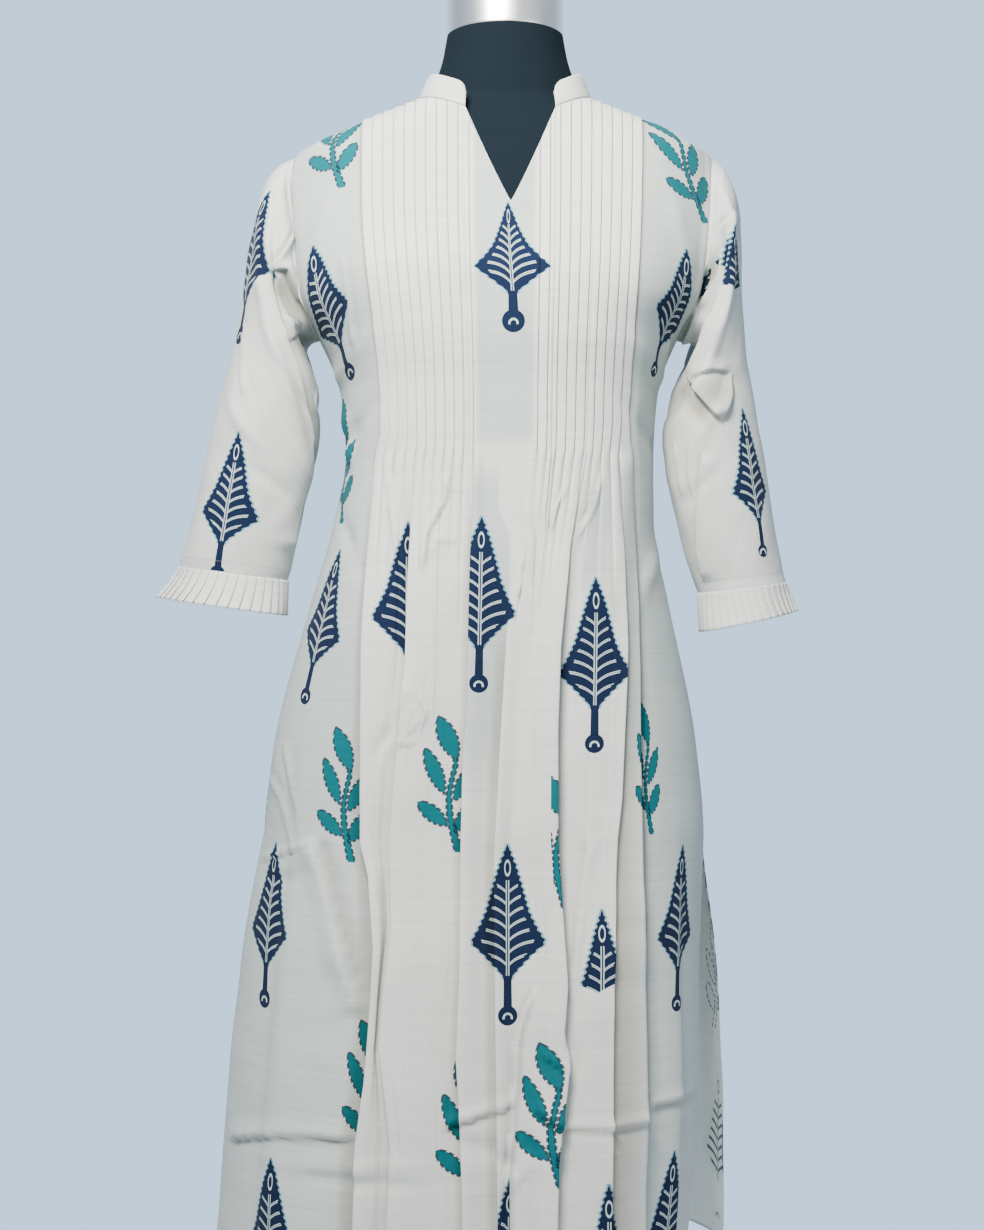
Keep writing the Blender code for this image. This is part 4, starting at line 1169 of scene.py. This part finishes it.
def add_print(mesh, cloth, corners, placed, lanes_cut):
    """Writes the motif map and the motif sizes on a piece. The first motif at a place wins."""
    flat = corners.reshape(-1, 4)
    motif_map = np.full((len(flat), 4, 2), NO_PRINT)
    size_map = np.full((len(flat), 4, 2), 0.06)
    cut_map = np.ones((len(flat), 4, 2))
    taken = np.zeros(len(flat), dtype=bool)
    for motif, x, y in placed:
        width, length = motif.width / 1000, motif.length / 1000
        leaf = motif.kind == "leaf"
        reach = width * (0.5 if leaf else 0.29) + 0.005
        inside = (np.abs(x) < reach) & (y > -0.004) & (y < (length if leaf else width) + 0.005)
        if lanes_cut:
            lanes = cloth.lanes[None, :] + np.zeros_like(x)
            inside &= (lanes >= motif.low - 0.004) & (lanes <= motif.high + 0.004)
        chosen = inside.ravel()[flat].all(axis=1) & ~taken
        taken |= chosen
        shift = 0.0 if leaf else SPRIG_SHIFT
        motif_map[chosen] = np.stack([x.ravel()[flat[chosen]] + shift, y.ravel()[flat[chosen]]], axis=2)
        size_map[chosen] = (width, length)
        cut_map[chosen] = motif.cut
    add_map(mesh, "motif", motif_map.reshape(-1, 2))
    add_map(mesh, "motif_size", size_map.reshape(-1, 2))
    add_map(mesh, "motif_cut", cut_map.reshape(-1, 2))


def lattice(cloth):
    """Rows of leaves and sprigs in turn, for the cloth that the photo doesn't show."""
    placed = []
    up = cloth.up.max() - BACK_PRINT_TOP
    row = 0
    while up > 0.02:
        start, stop = cloth.along.min() - BACK_PRINT_ALONG, cloth.along.max() + BACK_PRINT_ALONG
        for k, along in enumerate(np.arange(start, stop, BACK_PRINT_ALONG)):
            kind, width, length = BACK_PRINT[(k + row) % 2]
            across = cloth.along - along - BACK_PRINT_SHIFT
            placed.append((Motif(kind, 0, 0, width, length, 0), across, up - cloth.up))
        up -= BACK_PRINT_UP
        row += 1
    return placed


def tuck_foot_painted_shade(columns, z):
    """Painted shade at the foot of each sewn tuck."""
    foot = np.array([1.0 if tuck >= 0 and step < 2 else 0.0 for _, tuck, step in columns])
    return foot[None, :] * ease((z - TUCK_END_Z + 0.03) / 0.03)


def edge_distance(cloth):
    """How far each point lies from the hem, or from the side edge below the slit's top."""
    side = np.minimum(cloth.along - cloth.along[:, :1], cloth.along[:, -1:] - cloth.along)
    side = np.abs(side) + ease((cloth.places - SLIT_TOP_Z - 0.02) / 0.02) * 0.5
    return np.minimum(cloth.up, side)


def sheer_share(lanes, z):
    """Where one layer of cloth lies over the dark form and looks cooler."""
    lane = np.abs(lanes)[None, :]
    signed = lanes[None, :]
    side = ease((lane - TUCK_LANE) / 0.012)
    centre = ease((0.165 - lane) / 0.03) * ease((z - TUCK_END_Z) / 0.02)
    centre_low = ease((signed + 0.175) / 0.005) * ease((-0.035 - signed) / 0.01)
    centre_low = centre_low * ease((1.08 - z) / 0.03) * ease((z - 0.76) / 0.10)
    right_gap = ease((signed - 0.6475) / 0.004) * ease((0.70 - signed) / 0.004)
    right_gap = right_gap * ease((1.08 - z) / 0.02)
    right_gap = right_gap * ease((z - 0.74) / 0.12)
    right_low = ease((signed - 0.49) / 0.004) * ease((0.58 - signed) / 0.02)
    right_low = right_low * ease((1.07 - z) / 0.03) * ease((z - 0.95) / 0.03)
    lower = ease((z - 0.40) / 0.5) * 0.5 + 0.5
    return np.maximum.reduce([side * lower, centre, centre_low, right_gap, right_low * 0.8])


def sum_method(operation, last=False):
    """A method of Wire that adds a Math node, with the wire as its first value or its last."""
    def method(self, *others):
        values = (*others, self) if last else (self, *others)
        return self.paint.node("ShaderNodeMath", {"operation": operation}, values)[0]
    return method


class Wire:
    """A value in a material, with plain sums on it."""

    def __init__(self, paint, socket):
        self.paint = paint
        self.socket = socket

    __add__, __radd__ = sum_method("ADD"), sum_method("ADD", last=True)
    __sub__, __rsub__ = sum_method("SUBTRACT"), sum_method("SUBTRACT", last=True)
    __mul__, __rmul__ = sum_method("MULTIPLY"), sum_method("MULTIPLY", last=True)
    __truediv__, __abs__ = sum_method("DIVIDE"), sum_method("ABSOLUTE")
    __lt__, __gt__ = sum_method("LESS_THAN"), sum_method("GREATER_THAN")
    most, power, part = sum_method("MAXIMUM"), sum_method("POWER"), sum_method("FRACT")
    sine, root, exponent = sum_method("SINE"), sum_method("SQRT"), sum_method("EXPONENT")


class Paint:
    """A material being built."""

    def __init__(self, name):
        self.material = bpy.data.materials.new(name)
        self.material.use_nodes = True
        self.tree = self.material.node_tree
        self.shader = self.tree.nodes["Principled BSDF"]

    def node(self, kind, settings=(), values=()):
        """A new node with its settings, and its inputs by order or by name. Gives its outputs."""
        made = self.tree.nodes.new(kind)
        for name, value in dict(settings).items():
            setattr(made, name, value)
        named = values.items() if isinstance(values, dict) else enumerate(values)
        for name, value in named:
            self.put(made.inputs[name], value)
        return [Wire(self, output) for output in made.outputs]

    def put(self, socket, value):
        if isinstance(value, Wire):
            self.tree.links.new(value.socket, socket)
        else:
            socket.default_value = value

    def number(self, name):
        """A number that is written on the mesh."""
        return self.node("ShaderNodeAttribute", {"attribute_name": name})[2]

    def map(self, name):
        """The two values of a UV map."""
        whole = self.node("ShaderNodeUVMap", {"uv_map": name})[0]
        return self.node("ShaderNodeSeparateXYZ", (), [whole])[:2]

    def point(self, x, y, z=0.0):
        return self.node("ShaderNodeCombineXYZ", (), [x, y, z])[0]

    def noise(self, place, scale, detail=2.0, roughness=0.5):
        return self.node("ShaderNodeTexNoise", (), {
            "Vector": place, "Scale": scale, "Detail": detail, "Roughness": roughness})[0]

    def mix(self, share, low, high):
        """One colour into another by a share."""
        made = self.tree.nodes.new("ShaderNodeMix")
        made.data_type = "RGBA"
        for name, value in (("Factor_Float", share), ("A_Color", low), ("B_Color", high)):
            socket = next(s for s in made.inputs if s.identifier == name)
            self.put(socket, value)
        return Wire(self, next(s for s in made.outputs if s.identifier == "Result_Color"))

    def curve(self, share, stops):
        """A number that follows these stops, straight from one to the next."""
        made = self.tree.nodes.new("ShaderNodeValToRGB")
        ramp = made.color_ramp
        while len(ramp.elements) < len(stops):
            ramp.elements.new(0.5)
        for element, (place, value) in zip(ramp.elements, stops):
            element.position = place
            element.color = (value, value, value, 1)
        self.put(made.inputs[0], share)
        return Wire(self, made.outputs[0])

    def bump(self, height, strength, distance):
        return self.node("ShaderNodeBump", (), {
            "Strength": strength, "Distance": distance, "Height": height})[0]

    def finish(self, values):
        """Fills the shader's inputs by name and gives the material."""
        for name, value in values.items():
            self.put(self.shader.inputs[name], value)
        return self.material


# Colours of the print and the cloth; FOLD_SHADE tints the painted shade in folds and hollows
CREAM = (0.500, 0.515, 0.488, 1)
COOL = (0.350, 0.395, 0.385, 1)
NAVY = (0.004, 0.010, 0.032, 1)
TURQUOISE = (0.01, 0.16, 0.22, 1)
VEIN = (0.42, 0.50, 0.49, 1)
TEAL = (0.0, 0.088, 0.106, 1)
DASH = (0.004, 0.008, 0.024, 1)
WALL = (0.70, 1.02, 1.40, 1)
ROOM = (0.40, 0.50, 0.60, 1)
STITCH = (0.18, 0.16, 0.14, 1)
WHITE = (1, 1, 1, 1)
FOLD_SHADE = (0.50, 0.45, 0.38, 1)

LEAF_STOPS = [
    (0.0, 0.0), (0.05, 0.05), (0.12, 0.12), (0.22, 0.195), (0.37, 0.30), (0.46, 0.40),
    (0.52, 0.485), (0.55, 0.50), (0.60, 0.36), (0.65, 0.235), (0.72, 0.07), (0.75, 0.055),
    (0.895, 0.060), (0.90, 0.0), (1.0, 0.0),
]

# Leaves of the sprig: centre, lean from upright in degrees, half length and half width, as
# shares of the sprig's width.
SPRIG_LEAVES = [
    (-0.026, 0.157, -23, 0.172, 0.068),
    (-0.122, 0.400, -22, 0.182, 0.053),
    (0.098, 0.485, 30, 0.155, 0.055),
    (-0.138, 0.716, -50, 0.138, 0.054),
    (0.109, 0.737, 36, 0.140, 0.058),
]
SPRIG_STEM = [
    (0.30, 0.530), (0.36, 0.530), (0.46, 0.504), (0.575, 0.480), (0.735, 0.488), (0.87, 0.520),
    (1.0, 0.556),
]


def leaf_print(paint, x, y, width, length, cut, within):
    """Shares of the dark leaf, of its pale lines and of its bright rim, down to where it is cut."""
    down = y / length
    kept = (down + abs(x + 0.004) * 3.5 < cut + 0.02).most(cut > 0.99)
    side = abs(x)
    shape = paint.curve(down, LEAF_STOPS) * width
    scallop = (y * 1150.0).sine()
    on_blade = (down < 0.70) * (down > 0.03)
    shape = shape + scallop * 0.0008 * on_blade
    leaf = side < shape
    leaf = leaf * (down > 0.0) * (down < 0.9) * kept
    halo = (side < shape + 0.0016) * (down > -0.004) * (down < 0.74) * kept
    ring_y = y - length * 0.935
    ring_far = (x * x + ring_y * ring_y).root()
    ring_radius = width * 0.12 + 0.001
    ring = (ring_far < ring_radius) * kept
    arch_far = (x * x + (ring_y - 0.002) * (ring_y - 0.002)).root()
    arch = (abs(arch_far - 0.0036) < 0.0009) * (ring_y < 0.003)
    spine = (abs(side - 0.0010) < 0.00045) * (down > 0.20) * (down < 0.72)
    loop_y = (y - length * 0.132) / 0.0062
    loop_far = ((x / 0.0024) * (x / 0.0024) + loop_y * loop_y).root()
    loop = abs(loop_far - 1.0) < 0.20
    rise = 1.0 - (side * -90.0).exponent()
    flow = y + rise * 0.0125
    pitch = length * 0.066
    step = (flow - length * 0.24) / pitch
    off = abs(step.part() - 0.5) * pitch
    number = (step > 0.0) * (step < 7.0)
    near_edge = side < shape * 0.74
    vein = (abs(off - 0.0008) < within * 0.0006 + 0.00042) * number * near_edge * (side > 0.0012)
    rungs = (off < 0.0006) * ((side / 0.0021).part() < 0.45) * number * near_edge * (side > 0.002)
    pale = spine.most(loop).most(vein).most(rungs * 0.8) * leaf
    pale = pale.most(arch * ring)
    return leaf.most(ring), pale, halo


def sprig_print(paint, x, y, width):
    """Shares of the teal sprig and of its stitched outline."""
    across, down = x / width, y / width
    filled, stitched = None, None
    for middle_x, middle_y, lean, half_length, half_width in SPRIG_LEAVES:
        turn = radians(lean)
        dx, dy = across - middle_x, down - middle_y
        length = dx * sin(turn) - dy * cos(turn)
        breadth = dx * cos(turn) + dy * sin(turn)
        share = length / half_length
        body = 1.0 - share * share
        shape = body.most(0.0).power(0.8) * half_width
        inside = abs(breadth) < shape
        far = abs(abs(breadth) - shape - 0.003)
        band = (far < 0.0085) * (abs(share) < 1.05)
        dash = ((length + abs(breadth) * 0.6) / 0.050).part() < 0.70
        filled = inside if filled is None else filled.most(inside)
        stitched = band * dash if stitched is None else stitched.most(band * dash)
    stem_x = paint.curve(down, SPRIG_STEM) - 0.5
    half = 0.016 + (down - 0.5).most(0.0) * 0.028
    on_stem = (down > 0.29) * (down < 1.0)
    from_stem = abs(across - stem_x)
    stem = (from_stem < half) * on_stem
    beside = (abs(from_stem - half - 0.002) < 0.0080) * on_stem * ((down / 0.050).part() < 0.70)
    filled = filled.most(stem)
    return filled, stitched.most(beside)


def printed_cotton():
    """Cream slub cotton with the print, cooler where it is one layer over the form, with painted shade
    in folds and painted light on its inner side.
    """
    paint = Paint("printed_slub_cotton")
    along, up = paint.map("cloth")
    sheer = paint.number("sheer")
    slub = paint.noise(paint.point(along * 18.0, up * 420.0), 1.0, 3.0, 0.6)
    long_slub = paint.noise(paint.point(along * 5.0 + 7.0, up * 190.0), 1.0, 2.0, 0.55)
    blotch = paint.noise(paint.point(along * 14.0 + 3.0, up * 14.0), 1.0, 2.0, 0.5)
    thread = paint.noise(paint.point(along * 1500.0, up * 1500.0), 1.0, 1.0, 0.5)
    base = paint.mix(sheer, CREAM, COOL)
    shade = (slub - 0.5) * 0.26 + (long_slub - 0.5) * 0.20
    shade = shade + (blotch - 0.5) * 0.12 + (thread - 0.5) * 0.10
    level = 1.0 + shade
    x, y = paint.map("motif")
    width, length = paint.map("motif_size")
    cut, _ = paint.map("motif_cut")
    within = paint.node("ShaderNodeNewGeometry")[6]
    is_leaf = (x > -0.3) * (x < 0.3)
    is_sprig = x > 0.5
    leaf, pale, halo = leaf_print(paint, x, y, width, length, cut, within)
    sprig, stitched = sprig_print(paint, x - SPRIG_SHIFT, y, width)
    outer = 1.0 - within * 0.95
    colour = paint.mix(halo * is_leaf * outer * 0.75, base, TURQUOISE)
    colour = paint.mix(leaf * is_leaf * outer, colour, NAVY)
    colour = paint.mix(pale * is_leaf * 0.85, colour, paint.mix(within, VEIN, DASH))
    colour = paint.mix(sprig * is_sprig * outer, colour, TEAL)
    colour = paint.mix(stitched * is_sprig * 0.9, colour, DASH)
    from_edge = paint.number("from_edge")
    dash = ((along + up) / 0.0028).part() < 0.72
    sewn = (abs(from_edge - 0.0092) < 0.0004) * dash
    folded = from_edge < 0.0088
    # Painted shade: the colour is darkened towards FOLD_SHADE at the feet of tucks and folds and in
    # hollows.
    painted_shade = paint.number("painted_shade")
    colour = paint.mix(sewn * 0.45, colour, STITCH)
    shaded = paint.node("ShaderNodeVectorMath", {"operation": "MULTIPLY"}, [
        colour, paint.mix(painted_shade, WHITE, FOLD_SHADE)])[0]
    # Painted light: the inner side of the cloth is drawn brighter, standing in for light that comes
    # through it.
    level = level + within * 0.80
    scaled = paint.node("ShaderNodeVectorMath", {"operation": "SCALE"}, {
        "Vector": shaded, "Scale": level})[0]
    relief = slub * 0.5 + thread * 0.6 + stitched * is_sprig * 0.8 + folded * 0.8 - sewn * 0.8
    return paint.finish({
        "Base Color": scaled, "Roughness": 0.86, "Sheen Weight": 0.03, "Sheen Roughness": 0.5,
        "Specular IOR Level": 0.10, "Normal": paint.bump(relief, 0.35, 0.0006),
    })


def plain_material(name, colour, roughness, metallic, grain, gloss=0.5):
    """A plain finish with a fine unevenness in its gloss."""
    paint = Paint(name)
    place = paint.node("ShaderNodeTexCoord")[3]
    spread = paint.node("ShaderNodeMapping", (), {"Vector": place, "Scale": grain})[0]
    uneven = paint.noise(spread, 1.0, 3.0, 0.6)
    return paint.finish({
        "Base Color": (*colour, 1), "Roughness": uneven * 0.12 + (roughness - 0.06),
        "Metallic": metallic, "Specular IOR Level": gloss, "Normal": paint.bump(uneven, 0.15, 0.0004),
    })


def cloth_piece(name, cloth, material, placed=(), inside=None, lanes_cut=False, sheer=0.0,
                from_edge=0.2, wall=CLOTH_EDGE, rim_only=True, tube=False):
    """A piece of cloth with its maps, print, material and thin edge or second layer."""
    if inside is None:
        inside = cloth.points.reshape(-1, 3).mean(axis=0)
    made, place, corners = grid_object(name, cloth.points, inside)
    mesh = made.data
    lengths = np.stack([cloth.along.ravel()[corners], cloth.up.ravel()[corners]], axis=1)
    add_map(mesh, "cloth", lengths)
    add_print(mesh, cloth, corners, placed, lanes_cut)
    nothing = np.zeros(cloth.points.shape[:2])
    # The painted shade of folds, tuck feet and hollows goes on the mesh for the material.
    painted_shade = 0.0 if cloth.shade is None else cloth.shade
    for share, values in (("sheer", sheer), ("painted_shade", painted_shade), ("from_edge", from_edge)):
        add_share(mesh, share, (nothing + values).ravel()[place])
    mesh.materials.append(material)
    if wall:
        edge = made.modifiers.new("edge", "SOLIDIFY")
        edge.thickness = wall
        edge.offset = -1
        edge.use_rim_only = rim_only
    if tube:
        close_seam(made)
    return made


def form_piece(name, points, inside, material):
    """A closed part of the dress form."""
    made, _, _ = grid_object(name, points, inside)
    close_seam(made)
    made.data.materials.append(material)
    return made


def add_area(name, place, target, size, power, colour):
    """A soft square light that faces a place."""
    light = bpy.data.lights.new(name, "AREA")
    light.shape = "RECTANGLE"
    light.size, light.size_y = size
    light.energy = power
    light.color = colour
    made = bpy.data.objects.new(name, light)
    made.location = place
    made.rotation_euler = (Vector(target) - made.location).to_track_quat("-Z", "Y").to_euler()
    bpy.context.collection.objects.link(made)


def light_room():
    """A pale wall before the camera and a dimmer room around it."""
    world = bpy.data.worlds.new("pale_studio")
    bpy.context.scene.world = world
    world.use_nodes = True
    nodes, links = world.node_tree.nodes, world.node_tree.links
    around = nodes.new("ShaderNodeTexCoord")
    parts = nodes.new("ShaderNodeSeparateXYZ")
    ramp = nodes.new("ShaderNodeValToRGB")
    ramp.color_ramp.elements[0].position = 0.45
    ramp.color_ramp.elements[0].color = ROOM
    ramp.color_ramp.elements[1].position = 0.80
    ramp.color_ramp.elements[1].color = WALL
    links.new(around.outputs["Generated"], parts.inputs[0])
    links.new(parts.outputs["Y"], ramp.inputs[0])
    links.new(ramp.outputs[0], nodes["Background"].inputs["Color"])
    nodes["Background"].inputs["Strength"].default_value = 1.20


def main():
    cotton = printed_cotton()
    jersey = plain_material("black_jersey", (0.003, 0.007, 0.011), 0.90, 0.0, (900, 900, 900), 0.10)
    chrome = plain_material("brushed_chrome", (0.80, 0.80, 0.79), 0.32, 1.0, (40, 40, 900))
    steel = plain_material("black_steel", (0.03, 0.03, 0.032), 0.45, 0.6, (300, 300, 300))

    shown = {}
    front = front_panel()
    front_motifs = on_planes(front, SHOULDER_PRINT) + on_cloth(front, FRONT_PRINT)
    shown["kurta_front"] = cloth_piece(
        "front", front, cotton, front_motifs, inside=(0, 0.3, 0.9), lanes_cut=True,
        sheer=sheer_share(front.lanes, front.places), from_edge=edge_distance(front))
    back = back_panel()
    shown["kurta_back"] = cloth_piece(
        "back", back, cotton, lattice(back), inside=(0, -0.3, 0.9), sheer=0.35,
        from_edge=edge_distance(back))
    for side, sign, rings, last, creases, bends, dabs, motifs in (
        ("left", -1, LEFT_SLEEVE, LEFT_FRILL, LEFT_CREASES, LEFT_BENDS, LEFT_DABS,
         LEFT_SLEEVE_PRINT),
        ("right", 1, RIGHT_SLEEVE, RIGHT_FRILL, RIGHT_CREASES, RIGHT_BENDS, RIGHT_DABS,
         RIGHT_SLEEVE_PRINT),
    ):
        arm = sleeve(sign, rings, creases, bends, dabs)
        shown["sleeve_" + side] = cloth_piece(
            "sleeve_" + side + "_cloth", arm, cotton, on_planes(arm, motifs, HIDDEN_PRINT),
            sheer=0.40, from_edge=arm.up[-1:] - arm.up, wall=None, tube=True)
        shown["cuff_frill_" + side] = cloth_piece(
            "frill_" + side, frill(rings[-1], last), cotton, tube=True)
    band = collar()
    shown["collar_band"] = cloth_piece(
        "collar", band, cotton, inside=(0, 0, 1.42), from_edge=band.up[-1:] - band.up + 0.0065,
        wall=COLLAR_WALL, rim_only=False)

    torso = form_piece("torso", torso_points(), (0, 0, 1.1), jersey)
    cap = form_piece("cap", cap_points(), (0, NECK_MIDDLE_Y, 1.51), chrome)

    for node, piece in shown.items():
        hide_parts(node)
        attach(piece, "root")
    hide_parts("form_torso")
    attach(torso, "root")
    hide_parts("neck_cap")
    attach(cap, "root")
    for node, material in (("stand_pole", chrome), ("stand_base", steel)):
        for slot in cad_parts[node].material_slots:
            slot.material = material

    disc = bmesh.new()
    bmesh.ops.create_circle(disc, cap_ends=True, segments=128, radius=FLOOR_RADIUS)
    mesh = bpy.data.meshes.new("floor")
    disc.to_mesh(mesh)
    disc.free()
    floor = bpy.data.objects.new("floor", mesh)
    bpy.context.collection.objects.link(floor)
    mesh.materials.append(plain_material("pale_floor", (0.62, 0.66, 0.69), 0.7, 0.0, (3, 3, 3)))

    light_room()
    add_area("key", (-0.28, -1.00, 1.95), (0, 0, 1.25), (0.45, 0.45), 78, (1.0, 0.95, 0.87))
    add_area("fill", (1.7, -1.5, 1.1), (0, 0, 0.9), (1.0, 1.6), 10, (1.0, 0.95, 0.90))

    camera = bpy.data.cameras.new("photo_camera")
    camera.sensor_fit = "VERTICAL"
    camera.sensor_height = CAMERA_SENSOR
    camera.lens = CAMERA_LENS
    view = bpy.data.objects.new("photo_camera", camera)
    view.location = CAMERA_PLACE
    view.rotation_euler = (pi / 2, 0, 0)
    bpy.context.collection.objects.link(view)
    bpy.context.scene.camera = view


main()
